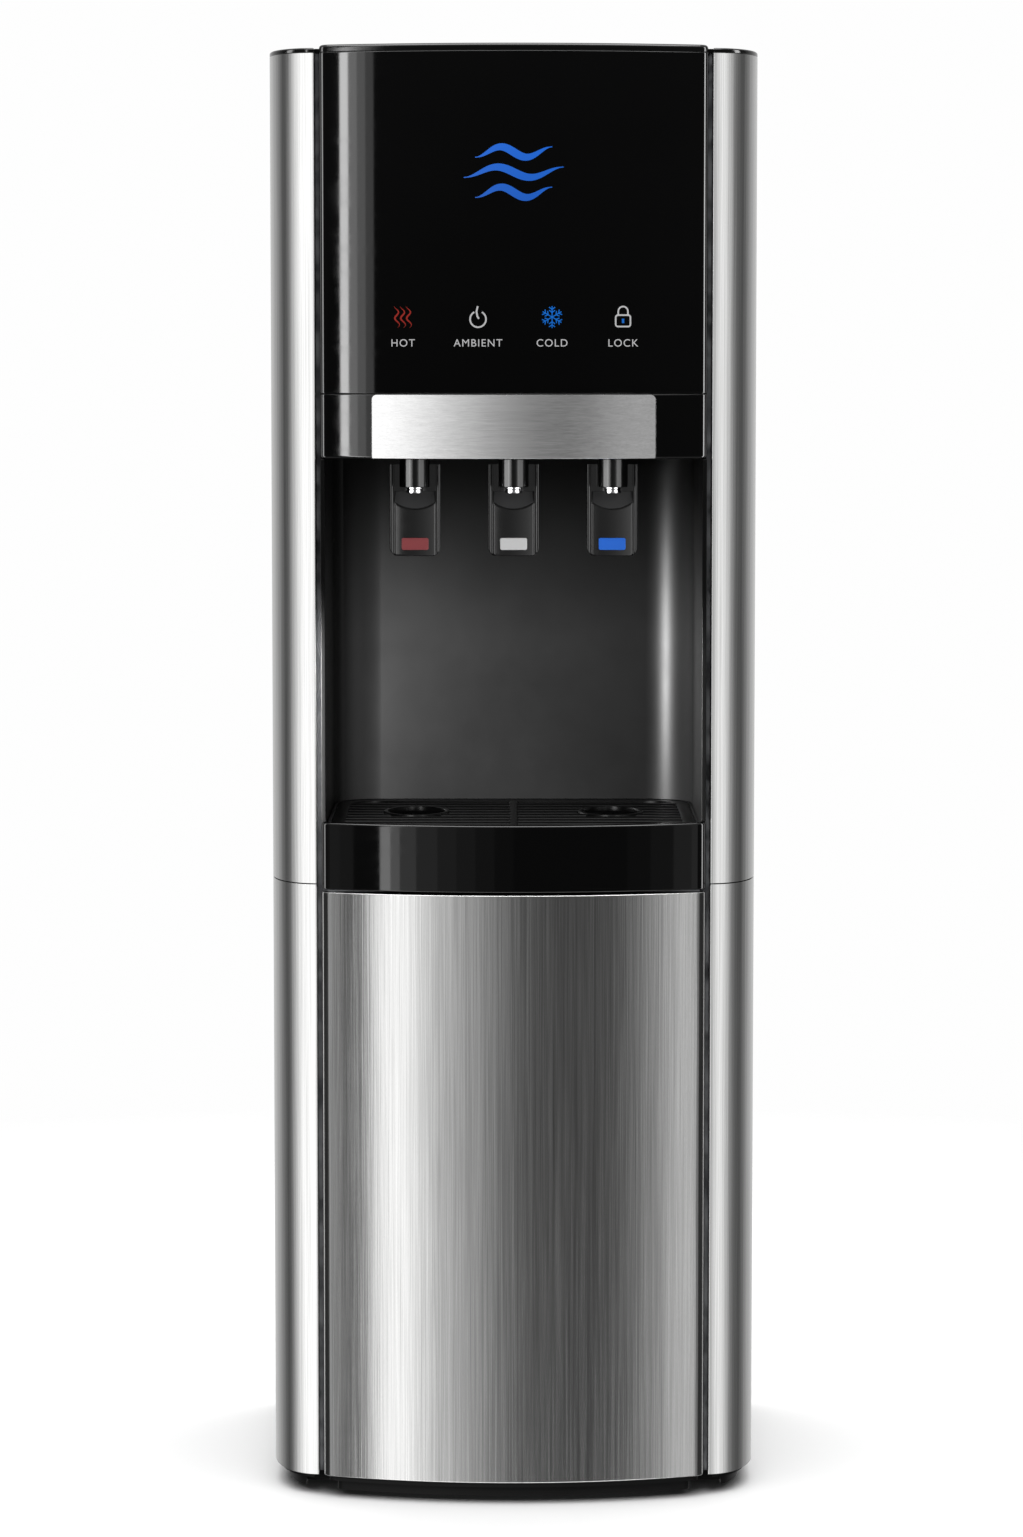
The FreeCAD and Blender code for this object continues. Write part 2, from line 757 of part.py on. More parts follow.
def alcove_liner():
    """One black moulding: back wall, side walls, floor and the gloss edges beside the alcove."""
    back = alcove_y + liner_wall
    outer = box("liner_outer_block", (-column_x + 0.1, return_y + clearance, liner_low),
                (column_x - 0.1, back, tank_shelf_z))
    inner = box("liner_inner_block", (-alcove_x, front_y - 1, liner_low + plastic),
                (alcove_x, alcove_y, tank_shelf_z + 1))
    outer_x = (column_x - 0.1).value
    back_y = back.value
    inner_x = alcove_x.value
    inner_y = alcove_y.value

    def outer_corner(middle, edge):
        return upright(edge) and abs(abs(middle.x) - outer_x) < 1e-3 and abs(middle.y - back_y) < 1e-3

    def inner_corner(middle, edge):
        return upright(edge) and abs(abs(middle.x) - inner_x) < 1e-3 and abs(middle.y - inner_y) < 1e-3

    shell = rounded("liner_outer", outer, alcove_corner + liner_wall, outer_corner)
    hollow = rounded("liner_inner", inner, alcove_corner, inner_corner)
    hose_gate = box("liner_hose_gate",
                    (-tap_pitch - 10, alcove_y - 1, tank_shelf_z - hose_bend - hose_radius - 1),
                    (tap_pitch + 10, back + 1, tank_shelf_z + 1))
    walls = cut("liner_walls", shell, hollow, hose_gate)
    edges = []
    for side in (-1, 1):
        low_x = column_x - liner_wall if side > 0 else -column_x + 0.1
        high_x = column_x - 0.1 if side > 0 else -column_x + liner_wall
        edges.append(box(f"liner_edge_{side + 1}", (low_x, front_y + column_bow + 1, tray_top + 1),
                         (high_x, return_y + clearance + 1, header_low - 0.3)))
    return keep(fuse("alcove_liner", walls, *edges))


def tap_bracket():
    """The alcove's ceiling: spout holes, paddle slots and the lugs that hold the paddle pins."""
    side = alcove_x - 0.1
    slot_x = paddle_width / 2 - 5.3
    plate = padded("tap_ceiling", header_low, ceiling_top, lambda sketch: rectangle(
        sketch, -side, return_y, side, pivot_y + 60))

    def openings(sketch):
        for _, step in TAPS:
            x = step * tap_pitch
            circle(sketch, x, spout_y, spout_radius + 0.1)
            rectangle(sketch, x - slot_x, pivot_y - 6, x + slot_x, pivot_y + 8)

    pocketed(plate, "tap_openings", ceiling_top, plastic, openings)
    lugs = []
    for name, step in TAPS:
        x = step * tap_pitch
        for side_name, low, high in (("near", -slot_x - 3, -slot_x), ("far", slot_x, slot_x + 3)):
            lugs.append(box(f"lug_{name}_{side_name}", (x + low, pivot_y - 6, ceiling_top - 0.5),
                            (x + high, pivot_y + 6, pivot_z + 6)))
    bores = [cylinder(f"lug_bore_{name}", (step * tap_pitch - slot_x - 4, pivot_y, pivot_z), pin_radius,
                      2 * slot_x + 8, RIGHT)
             for name, step in TAPS]
    return keep(cut("tap_bracket", fuse("tap_bracket_blank", plate, *lugs), *bores))


def spouts():
    """Three black sleeves through the ceiling, each with a chrome nozzle pressed into it."""
    sleeves = []
    tips = []
    low = header_low - spout_length
    seat = low + 12
    top = ceiling_top + 6
    for name, step in TAPS:
        centre = (step * tap_pitch, spout_y)
        sleeves.append(revolved(f"spout_sleeve_{name}", centre, [
            (tip_radius, low), (spout_radius, low), (spout_radius, ceiling_top),
                                                                 (spout_radius + 3, ceiling_top),
            (spout_radius + 3, ceiling_top + 2.5), (tip_radius + 1, ceiling_top + 2.5), (tip_radius + 1, top),
            (water_bore, top), (water_bore, seat), (tip_radius, seat)]))
        tips.append(revolved(f"spout_tip_{name}", centre, [
            (water_bore, low - tip_length), (tip_radius - 0.8, low - tip_length),
                                                           (tip_radius, low - tip_length + 0.8),
            (tip_radius, seat), (water_bore, seat)]))
    keep(group("spout_sleeves", *sleeves))
    keep(group("spout_tips", *tips))


def paddle(name, step):
    """A push paddle: a blade with side rails and a scoop under the spout, on an arm up to its pin."""
    x = step * tap_pitch
    half = paddle_width / 2
    blade_top = header_low - 5
    blade_low = header_low - 3 - paddle_length
    arm_x = half - 6.3
    front = paddle_front_y
    blade = box(f"blade_{name}", (x - half, front, blade_low), (x + half, front + paddle_depth, blade_top))
    low = blade_low.value

    def lower_corner(middle, edge):
        straight = edge.BoundBox.ZLength < 1e-3 and edge.BoundBox.XLength < 1e-3
        return straight and abs(middle.z - low) < 1e-3

    shaped = rounded(f"blade_rounded_{name}", blade, paddle_corner, lower_corner)
    hollow = box(f"blade_hollow_{name}", (x - half + paddle_rail, front - 1, blade_low + 30),
                 (x + half - paddle_rail, front + 3.5, blade_top + 1))
    scoop_radius = half + 5.2
    scoop = cylinder(f"scoop_{name}", (x, front - 1, blade_low + 35 + scoop_radius), scoop_radius, 6, BACK)
    scoop_cut = common(f"scoop_cut_{name}", hollow, scoop)
    pocket = box(f"insert_pocket_{name}", (x - insert_width / 2, front - 1, blade_low + 4.4),
                 (x + insert_width / 2, front + 1.2, blade_low + 4.4 + insert_height))
    arm = box(f"arm_{name}", (x - arm_x, pivot_y - 4, blade_top - 4), (x + arm_x - 5, pivot_y + 4, pivot_z))
    boss = cylinder(f"boss_{name}", (x - arm_x, pivot_y, pivot_z), pivot_boss, 2 * arm_x - 5, RIGHT)
    bore = cylinder(f"paddle_bore_{name}", (x - half, pivot_y, pivot_z), pin_radius + running_fit,
                    paddle_width, RIGHT)
    solid = fuse(f"paddle_solid_{name}", shaped, arm, boss)
    keep(cut(f"paddle_{name}", solid, scoop_cut, pocket, bore))
    insert = box(f"insert_block_{name}", (x - insert_width / 2, front - 0.5, blade_low + 4.4),
                 (x + insert_width / 2, front + 1.2, blade_low + 4.4 + insert_height))

    def insert_corner(middle, edge):
        return edge.BoundBox.XLength < 1e-3 and edge.BoundBox.ZLength < 1e-3

    keep(rounded(f"paddle_insert_{name}", insert, 1.4, insert_corner))


def paddle_fittings():
    """Pins, torsion springs and microswitches, one of each for a paddle."""
    slot_x = paddle_width / 2 - 5.3
    arm_x = paddle_width / 2 - 6.3
    pins = []
    springs = []
    switches = []
    for name, step in TAPS:
        x = step * tap_pitch
        pins.append(cylinder(f"paddle_pin_{name}", (x - slot_x - 3, pivot_y, pivot_z), pin_radius,
                             2 * slot_x + 6, RIGHT))
        spring = coil(f"paddle_spring_{name}", (x + arm_x - 4.4, pivot_y, pivot_z), 4, as_size(0.95),
                      as_size(3.1), as_size(0.4))
        spring.Placement = Placement(spring.Placement.Base, Rotation(UP, RIGHT))
        place(spring, point(x + arm_x - 4.4, pivot_y, pivot_z))
        springs.append(spring)
        body = box(f"switch_body_{name}", (x - 10, pivot_y + 9, ceiling_top),
                   (x + 10, pivot_y + 19, ceiling_top + 11))
        plunger = cylinder(f"switch_plunger_{name}", (x, pivot_y + 6.4, pivot_z - 5), 1.2, 3, BACK)
        switches.append(fuse(f"microswitch_{name}", body, plunger))
    keep(group("paddle_pins", *pins))
    keep(group("paddle_springs", *springs))
    keep(group("microswitches", *switches))


def solenoid_valves():
    """A valve on each spout: a body over the sleeve, a coil above it and a barb for the hose."""
    valves = []
    low = ceiling_top + 6
    for name, step in TAPS:
        x = step * tap_pitch
        body = cylinder(f"valve_body_{name}", (x, spout_y, low), 9, 14)
        winding = box(f"valve_coil_{name}", (x - 14, spout_y - 13, low + 14),
                      (x + 14, spout_y + 13, low + 36))
        barb = cylinder(f"valve_barb_{name}", (x, spout_y, low + 36), hose_bore, 7)
        valves.append(fuse(f"solenoid_valve_{name}", body, winding, barb))
    return keep(group("solenoid_valves", *valves))


def drip_tray():
    """Sliding tray: the gloss front, a sump and a ledge that carries the grille."""
    tub_low = liner_low + plastic + 0.3
    tub_x = alcove_x - 1
    tub_back = alcove_y - 1.5
    rim_top = tray_top - 0.4
    ledge_z = rim_top - grille_thickness - 0.4
    corner = alcove_corner - 1

    def rear_corners(side, back):
        def wanted(middle, edge):
            at_side = abs(abs(middle.x) - side.value) < 1e-3
            return upright(edge) and at_side and abs(middle.y - back.value) < 1e-3
        return wanted

    def tub_part(label, inset, low, high):
        side = tub_x - inset
        rear = tub_back - inset
        block = box(f"{label}_slab", (-side, front_y - 1, low), (side, rear, high))
        drum = cylinder(f"{label}_drum", (0, arc_y, low), column_radius - plastic - inset + 0.2, high - low)
        round_block = rounded(f"{label}_rounded", block, corner - inset, rear_corners(side, rear))
        return common(label, round_block, drum)

    tub = tub_part("tray_tub", as_size(0), tub_low, rim_top)
    recess = tub_part("tray_recess", tray_wall, ledge_z, rim_top + 1)
    sump = tub_part("tray_sump", tray_wall + tray_ledge, tub_low + tray_floor, rim_top + 1)
    front = column_shell("tray_front", plastic, tray_low, tray_top, None, None)
    return keep(fuse("drip_tray", front, cut("tray_hollow", tub, recess, sump)))


def drip_grille():
    """Lift-off grille: rows of long slots either side of a middle bar, and two oval cup openings."""
    inset = tray_wall + 0.5
    side = alcove_x - 1 - inset
    rear = alcove_y - 1.5 - inset
    top = tray_top - 0.8
    low = top - grille_thickness
    block = box("grille_slab", (-side, front_y - 1, low), (side, rear, top))
    drum = cylinder("grille_drum", (0, arc_y, low), column_radius - plastic - inset, grille_thickness)
    corner = alcove_corner - 1 - inset

    def rear_corner(middle, edge):
        return upright(edge) and abs(abs(middle.x) - side.value) < 1e-3 and abs(middle.y - rear.value) < 1e-3

    plate = common("grille_plate", rounded("grille_rounded", block, corner, rear_corner), drum)
    border = 9
    room = rear - front_y - column_bow - 2 * border
    rows = int(room.value // grille_pitch.value)
    start = rear - border - 4
    slots = []
    for row in range(rows):
        high_y = start - row * grille_pitch
        trim = 14 if row == 0 else 0
        for hand in (-1, 1):
            inner = grille_bar / 2
            outer = side - border - trim
            low_x = inner if hand > 0 else -outer
            high_x = outer if hand > 0 else -inner
            slots.append(box(f"grille_slot_{row}_{hand + 1}",
                             (low_x, high_y - grille_pitch + grille_bar, low - 1), (high_x, high_y, top + 1)))
    slotted = cut("grille_slotted", plate, *slots)
    middle_y = start - (rows / 2) * grille_pitch + grille_bar / 2
    rims = []
    openings = []
    for hand in (-1, 1):
        centre = (hand * tap_pitch, middle_y, low)
        rims.append(ellipse_prism(f"cup_rim_{hand + 1}", centre, cup_hole_width / 2 + cup_hole_rim,
                                  cup_hole_depth / 2 + cup_hole_rim, grille_thickness + 0.6))
        openings.append(ellipse_prism(f"cup_opening_{hand + 1}", (hand * tap_pitch, middle_y, low - 1),
                                      cup_hole_width / 2, cup_hole_depth / 2, grille_thickness + 3))
    return keep(cut("drip_grille", fuse("grille_ringed", slotted, *rims), *openings))


# ---------------------------------------------------------------- door


def door():
    """Brushed steel door front, its plastic liner, its two hinge pins and the magnet that holds it shut."""
    shell = column_shell("door_skin_shell", steel, door_low, door_top, steel, steel, door_back_y)
    side = column_x - steel - 0.1
    inner_low = door_low + steel + 0.1
    inner_high = door_top - steel - 0.1
    plate = box("door_liner_plate", (-side, door_back_y - plastic, inner_low),
                (side, door_back_y, inner_high))
    core = column_block("door_liner_core", steel + 0.1, inner_low, inner_high, door_back_y,
                        column_corner - steel - 0.1)
    hollow = column_block("door_liner_hollow", 4 + steel, inner_low + 4, inner_high - 4,
                          door_back_y - plastic, 4)
    pins = [("low", door_low), ("high", door_top - 16)]
    blocks = [box(f"door_pin_block_{name}", (-pin_x - 5, pin_y - 5, low + steel + 0.1),
                  (-pin_x + 7, pin_y + 7, low + 16 - steel - 0.1))
              for name, low in pins]
    bores = [cylinder(f"door_pin_bore_{name}", (-pin_x, pin_y, low - 1), door_pin_radius, 18) for name,
             low in pins]
    frame = fuse("door_liner_frame", cut("door_liner_shell", core, hollow), plate, *blocks)
    keep(cut("door_liner", frame, *bores))
    holes = [cylinder(f"door_skin_hole_{name}", (-pin_x, pin_y, low - 1), door_pin_radius, 18) for name,
             low in pins]
    keep(cut("door_skin", shell, *holes))
    lower_pin = cylinder("door_pin_lower", (-pin_x, pin_y, foot_height + 0.5), door_pin_radius,
                         door_low + 14 - foot_height)
    upper_pin = cylinder("door_pin_upper", (-pin_x, pin_y, door_top - 14), door_pin_radius,
                         14 + shelf_gap + shelf_steel)
    keep(group("door_pins", lower_pin, upper_pin))
    magnet_z = (door_low + door_top) / 2
    keep(box("door_magnet", (column_x - fold, door_back_y + 0.3, magnet_z - 20),
             (column_x - fold + 10, jamb_y, magnet_z + 20)))


# ---------------------------------------------------------------- filters




def filters():
    """A manifold under the shelf and three cartridges that twist into it."""
    block = box("manifold_block", (-1.5 * filter_pitch, filter_y - 34, filter_top + 2),
                (1.5 * filter_pitch, filter_y + 34, shelf_low))
    sockets = []
    for number, name in enumerate(("sediment", "carbon", "mineral")):
        x = (number - 1) * filter_pitch
        sockets.append(cylinder(f"socket_{name}", (x, filter_y, filter_top), filter_neck + running_fit, 24))
        low = filter_top - filter_length
        cartridge = revolved(f"cartridge_{name}", (x, filter_y), [
            (0, low), (filter_radius - 8, low), (filter_radius, low + 8), (filter_radius, filter_top - 14),
            (filter_radius - 3, filter_top - 6), (filter_neck + 4, filter_top), (filter_neck, filter_top),
            (filter_neck, filter_top + 23.5), (0, filter_top + 23.5)])
        grip = box(f"grip_{name}", (x - 4, filter_y - filter_radius + 6, low - 14),
                   (x + 4, filter_y + filter_radius - 6, low + 1))
        keep(fuse(f"filter_{name}", cartridge, grip))
    keep(cut("filter_manifold", block, *sockets))


# ---------------------------------------------------------------- tanks and cooling




def hollow_tank(label, centre, radius, low, height, wall=1.0, shoulder=12):
    """A closed steel tank with cone shoulders."""
    high = low + height
    return revolved(label, centre, [
        (0, low), (radius - shoulder, low), (radius, low + shoulder), (radius, high - shoulder),
                                    (radius - shoulder, high),
        (0, high), (0, high - wall), (radius - shoulder - 0.4, high - wall),
                                    (radius - wall, high - shoulder - 0.4),
        (radius - wall, low + shoulder + 0.4), (radius - shoulder - 0.4, low + wall), (0, low + wall)])


def cold_side():
    """The chilled tank, the evaporator wound on it and the foam block around both."""
    keep(hollow_tank("cold_tank", (0, cold_tank_y), cold_tank_radius, cold_tank_z, cold_tank_height))
    turns = 9
    pitch = (cold_tank_height - 46) / turns
    keep(coil("evaporator_coil", (0, cold_tank_y, cold_tank_z + 22), turns, pitch,
              cold_tank_radius + copper_radius + 0.1, copper_radius))
    high = cold_tank_z + cold_tank_height + insulation_wall
    block = box("insulation_block", (-column_x + 0.3, insulation_y[0], tank_shelf_z),
                (column_x - 0.3, insulation_y[1], high))
    cavity = cylinder("insulation_cavity", (0, cold_tank_y, cold_tank_z), cavity_radius,
                      high - cold_tank_z + 1)
    holes = [cylinder(f"insulation_hole_{name}", (x, cold_tank_y, tank_shelf_z - 1), hose_radius + 0.5,
                      insulation_wall + 2)
             for name, x in (("feed", 30), ("outlet", tap_pitch - 20))]
    lid = cylinder("insulation_lid", (0, cold_tank_y, cold_tank_z + cold_tank_height), cavity_radius - 0.2,
                   insulation_wall)
    keep(group("tank_insulation", cut("insulation_box", block, cavity, *holes), lid))




def hot_side():
    """The hot tank, standing on the shelf behind the alcove."""
    keep(hollow_tank("hot_tank", (hot_tank_x, hot_tank_y), hot_tank_radius, liner_low, hot_tank_height))




def compressor():
    """Hermetic compressor on a bracket, on four rubber grommets."""
    low = base_top + compressor_lift
    high = low + compressor_height
    shell = revolved("compressor_shell", (0, compressor_y), [
        (0, low), (compressor_radius - 14, low), (compressor_radius, low + 22), (compressor_radius, low + 70),
        (compressor_radius + 2.5, low + 70), (compressor_radius + 2.5, low + 76),
                                                             (compressor_radius, low + 76),
        (compressor_radius, high - 30), (compressor_radius - 22, high - 6), (0, high)])
    bracket = box("compressor_bracket", (-compressor_radius - 30, compressor_y - compressor_radius + 16, low),
                  (compressor_radius + 30, compressor_y + compressor_radius - 16, low + 3))
    terminal = box("compressor_terminal", (-compressor_radius - 20, compressor_y - 18, low + 85),
                   (-compressor_radius + 8, compressor_y + 18, low + 125))
    stub = cylinder("compressor_stub", (compressor_radius - 6, compressor_y, discharge_z),
                    copper_radius + 1.5, 18, RIGHT)
    suction = cylinder("compressor_suction", (compressor_radius - 24, compressor_y, high - 22),
                       copper_radius + 1.5, 30)
    keep(fuse("compressor", shell, bracket, terminal, stub, suction))
    grommets = []
    for side_x in (-1, 1):
        for side_y in (-1, 1):
            x = side_x * (compressor_radius + 18)
            y = compressor_y + side_y * (compressor_radius - 26)
            grommets.append(cylinder(f"grommet_{side_x + 1}_{side_y + 1}", (x, y, base_top), 9,
                                     compressor_lift))
    keep(group("compressor_grommets", *grommets))


def condenser():
    """The hot gas line, out through the rear panel and along a serpentine, with its wires and brackets."""
    start_x = compressor_radius + 12
    runs = int(condenser_runs.value)
    top = condenser_low + (runs - 1) * condenser_pitch
    places = [point(start_x, compressor_y, discharge_z), point(discharge_x, compressor_y, discharge_z),
              point(discharge_x, compressor_y, port_z), point(discharge_x, condenser_y, port_z),
              point(discharge_x, condenser_y, condenser_low)]
    side = 1
    for run in range(runs):
        height = condenser_low + run * condenser_pitch
        side = -side
        places.append(point(side * condenser_x, condenser_y, height))
        if run < runs - 1:
            places.append(point(side * condenser_x, condenser_y, height + condenser_pitch))
    places.append(point(side * condenser_x, condenser_y, top + 20))
    keep(bent_tube("condenser_coil", places, 9, condenser_tube))
    wires = []
    wire_count = 19
    first_x = condenser_x - 17
    wire_pitch = 2 * first_x / (wire_count - 1)
    low_z = condenser_low - 8
    high_z = top + 8
    for face, offset in (("rear", condenser_tube + condenser_wire),
                         ("front", -condenser_tube - condenser_wire)):
        for number in range(wire_count):
            wires.append(cylinder(f"condenser_wire_{face}_{number}",
                                  (number * wire_pitch - first_x, condenser_y + offset, low_z),
                                  condenser_wire, high_z - low_z))
    keep(group("condenser_wires", *wires))
    brackets = []
    for name, z in (("low", condenser_low + condenser_pitch / 2), ("high", top - condenser_pitch / 2)):
        for hand in (-1, 1):
            x = hand * (condenser_x - 11)
            brackets.append(box(f"condenser_bracket_{name}_{hand + 1}", (x - 4, rear_y, z - 9),
                                (x + 4, condenser_y - condenser_tube - 2 * condenser_wire, z + 9)))
    keep(group("condenser_brackets", *brackets))


def refrigerant_lines():
    """Cold gas line from the evaporator's block down to the compressor."""
    low = base_top + compressor_lift + compressor_height + 8
    x = compressor_radius - 24
    line_x = tap_pitch + 15
    places = [point(x, compressor_y, low), point(x, compressor_y, shelf_low - 60),
              point(line_x, alcove_y + liner_wall + 30, shelf_low - 40),
              point(line_x, alcove_y + liner_wall + 30, tank_shelf_z)]
    return keep(bent_tube("refrigerant_lines", places, 14, copper_radius))


def water_hoses():
    """Silicone hoses from the tanks and filters to the three valves, and from the inlet to the filters."""
    valve_z = ceiling_top + 6 + 36
    cross_z = tank_shelf_z - hose_bend
    rise_y = alcove_y + liner_wall + 14
    runs = {
        "hot": [point(-tap_pitch, spout_y, valve_z), point(-tap_pitch, spout_y, cross_z),
                point(-tap_pitch, hot_tank_y, cross_z),
                point(-tap_pitch, hot_tank_y, liner_low + hot_tank_height)],
        "ambient": [point(0, spout_y, valve_z), point(0, spout_y, cross_z), point(0, rise_y, cross_z),
                    point(0, rise_y, shelf_low + 30), point(30, rise_y, shelf_low + 30),
                    point(30, rise_y, shelf_low - 60)],
        "cold": [point(tap_pitch, spout_y, valve_z), point(tap_pitch, spout_y, cross_z),
                 point(tap_pitch - 20, cold_tank_y, cross_z),
                 point(tap_pitch - 20, cold_tank_y, cold_tank_z)],
        "inlet": [point(inlet_x, rear_y - 24, port_z), point(inlet_x, rear_y - 60, port_z),
                  point(inlet_x, rear_y - 60, filter_top + 16),
                  point(inlet_x, filter_y + 34, filter_top + 16)],
    }
    return keep(group("water_hoses", *[bent_tube(f"hose_{name}", places, hose_bend, hose_radius, hose_bore)
                                       for name, places in runs.items()]))


# ---------------------------------------------------------------- electrics and connections


def control_board():
    """Relay board on the front of the foam block."""
    y = insulation_y[0]
    low = tank_shelf_z + 90
    half = board_width / 2
    board = box("control_board_plate", (-half, y - 9.6, low), (half, y - 8, low + board_height))
    posts = [cylinder(f"control_board_post_{a}_{b}",
                      (a * (half - 8), y - 8, low + board_height / 2 + b * (board_height / 2 - 8)), 3, 8,
                      BACK)
             for a in (-1, 1) for b in (-1, 1)]
    pitch = board_width / 5
    relays = []
    for number in range(4):
        left = (number - 2) * pitch + 4
        relays.append(box(f"relay_{number}", (left, y - 25, low + 10), (left + pitch - 6, y - 9.6, low + 38)))
    transformer = box("transformer", (-30, y - 34, low + 44), (30, y - 9.6, low + board_height - 6))
    return keep(fuse("control_board", board, transformer, *posts, *relays))


def power_inlet():
    """Three-pin appliance inlet: a flange on the rear panel, a socket and three flat pins."""
    x, z, half_x, half_z = REAR_CUTOUTS["power"]
    flange = box("inlet_flange", (x - half_x - 4, rear_y, z - half_z - 3),
                 (x + half_x + 4, rear_y + 2.5, z + half_z + 3))
    barrel = box("inlet_barrel", (x - half_x + 0.2, rear_y - 20, z - half_z + 0.2),
                 (x + half_x - 0.2, rear_y + 2.5, z + half_z - 0.2))
    socket = box("inlet_socket", (x - half_x + 2, rear_y - 15, z - half_z + 2),
                 (x + half_x - 2, rear_y + 4, z + half_z - 2))
    pins = [box(f"inlet_pin_{number}", (x + dx - 2, rear_y - 16, z + dz - 1),
                (x + dx + 2, rear_y - 4, z + dz + 1))
            for number, (dx, dz) in enumerate(((-7, -2), (0, 3), (7, -2)))]
    return keep(fuse("power_inlet", cut("inlet_shell", fuse("inlet_body", flange, barrel), socket), *pins))


def rear_switches():
    """Two switch frames in the rear panel, each with its rocker."""
    frames = []
    for name in ("hot", "cold"):
        x, z, half_x, half_z = REAR_CUTOUTS[f"{name}_switch"]
        flange = box(f"switch_flange_{name}", (x - half_x - 2, rear_y, z - half_z - 2),
                     (x + half_x + 2, rear_y + 2, z + half_z + 2))
        barrel = box(f"switch_barrel_{name}", (x - half_x + 0.2, rear_y - 18, z - half_z + 0.2),
                     (x + half_x - 0.2, rear_y + 2, z + half_z - 0.2))
        well = box(f"switch_well_{name}", (x - half_x + 1.6, rear_y - 11, z - half_z + 1.3),
                   (x + half_x - 1.6, rear_y + 3, z + half_z - 1.3))
        axle = cylinder(f"switch_axle_{name}", (x - half_x + 1, rear_y - 3, z), 1, 2 * half_x - 2, RIGHT)
        frames.append(fuse(f"switch_housing_{name}",
                           cut(f"switch_shell_{name}", fuse(f"switch_block_{name}", flange, barrel), well),
                           axle))
        rocker(name, x, z, half_x - 2, half_z - 3)
    keep(group("switch_housings", *frames))


def rocker(name, x, z, half_x, half_z):
    """A rocker whose two faces slope away from its axle; at rest its upper half is pressed in."""
    middle_y = rear_y - 3
    body = DOC.addObject("PartDesign::Body", f"rocker_body_{name}")
    sketch = new_sketch(body, f"rocker_outline_{name}", "YZ_Plane", 0)
    polygon(sketch,
            [(-2.5, -2), (2.5, -half_z), (5.2, -half_z), (2.6, 0), (1.9, half_z), (-0.8, half_z), (-2.5, 2)])
    pad = body.newObject("PartDesign::Pad", f"rocker_pad_{name}")
    pad.Profile = sketch
    bind(pad, "Length", 2 * as_size(half_x))
    place(body, point(x - half_x, middle_y, z))
    bore = cylinder(f"rocker_bore_{name}", (x - half_x - 1, middle_y, z), 1 + running_fit, 2 * half_x + 2,
                    RIGHT)
    keep(cut(f"rocker_{name}", body, bore))


def water_connections():
    """Threaded water inlet, and the hot tank's drain pipe with its screw cap."""
    x, z, _ = REAR_HOLES["inlet"]
    spigot = cylinder("inlet_spigot", (x, rear_y - 14, z), 8, 38, BACK)
    flange = cylinder("inlet_nut_outer", (x, rear_y, z), 13, 5, BACK)
    nut = cylinder("inlet_nut_inner", (x, rear_y - steel - 5, z), 12, 5, BACK)
    barb = cylinder("inlet_barb", (x, rear_y - 24, z), hose_bore, 12, BACK)
    bore = cylinder("inlet_bore", (x, rear_y - 13, z), 4.5, 38, BACK)
    keep(cut("water_inlet_fitting", fuse("inlet_fitting_blank", spigot, flange, nut, barb), bore))
    x, z, _ = REAR_HOLES["drain"]
    pipe = cylinder("drain_tube", (x, rear_y - 30, z), 9, 44, BACK)
    collar = cylinder("drain_collar", (x, rear_y, z), 12, 3, BACK)
    drain_bore = cylinder("drain_bore", (x, rear_y - 28, z), 6, 44, BACK)
    keep(cut("drain_pipe", fuse("drain_blank", pipe, collar), drain_bore))
    cap = cylinder("drain_cap_body", (x, rear_y + 3.4, z), 12, 13, BACK)
    socket = cylinder("drain_cap_socket", (x, rear_y + 2, z), 9 + running_fit, 12.3, BACK)
    grip = box("drain_cap_grip", (x - 2, rear_y + 16.4, z - 10), (x + 2, rear_y + 22, z + 10))
    keep(fuse("drain_cap", cut("drain_cap_shell", cap, socket), grip))


def panel_screws():
    """Pan-head screws that hold the rear panel to the wings' folds."""
    screws = []
    height = lid_low - base_top
    for hand in (-1, 1):
        for number in range(5):
            z = base_top + 30 + number * (height - 60) / 4
            x = hand * (wall_x - 7)
            head = cylinder(f"screw_head_{hand + 1}_{number}", (x, rear_y, z), 4, 2.2, BACK)
            screws.append(head)
    return keep(group("panel_screws", *screws))


# ---------------------------------------------------------------- the whole machine


def build():
    base_pan()
    feet()
    frame_posts()
    middle_shelf()
    side_panel("lower", base_top, wing_seam_z - seam / 2)
    side_panel("upper", wing_seam_z + seam / 2, lid_low)
    rear_panel()
    top_cover()
    column_fronts()
    touch_board()
    alcove_liner()
    tap_bracket()
    spouts()
    for name, step in TAPS:
        paddle(name, step)
    paddle_fittings()
    solenoid_valves()
    drip_tray()
    drip_grille()
    door()
    filters()
    cold_side()
    hot_side()
    compressor()
    condenser()
    refrigerant_lines()
    water_hoses()
    control_board()
    power_inlet()
    rear_switches()
    water_connections()
    panel_screws()


def check():
    """Stops if any feature failed or any node is empty or not valid."""
    DOC.recompute()
    faults = [item.Label for item in DOC.Objects if "Invalid" in item.State or "Error" in item.State]
    for item in NODES:
        if item.Shape.isNull() or not item.Shape.isValid() or not item.Shape.Solids:
            faults.append(item.Label)
    if faults:
        raise RuntimeError(f"these pieces failed: {sorted(set(faults))}")


def write():
    os.makedirs("parts", exist_ok=True)
    for item in NODES:
        item.Shape.exportStep(f"parts/{item.Label}.step")


build()
check()
write()
print(len(NODES), "nodes")
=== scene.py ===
"""Looks of a floor-standing hot, ambient and cold water dispenser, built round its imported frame.

Everything is in metres, in the frame's own axes: +Z up, the front faces -Y, the middle of the
cabinet's foot at the origin. Sizes come from the frame's boxes and from a few fold and corner sizes.
"""

import logging
import math
from dataclasses import dataclass, field
from enum import Enum
from typing import Any, Iterable, Sequence

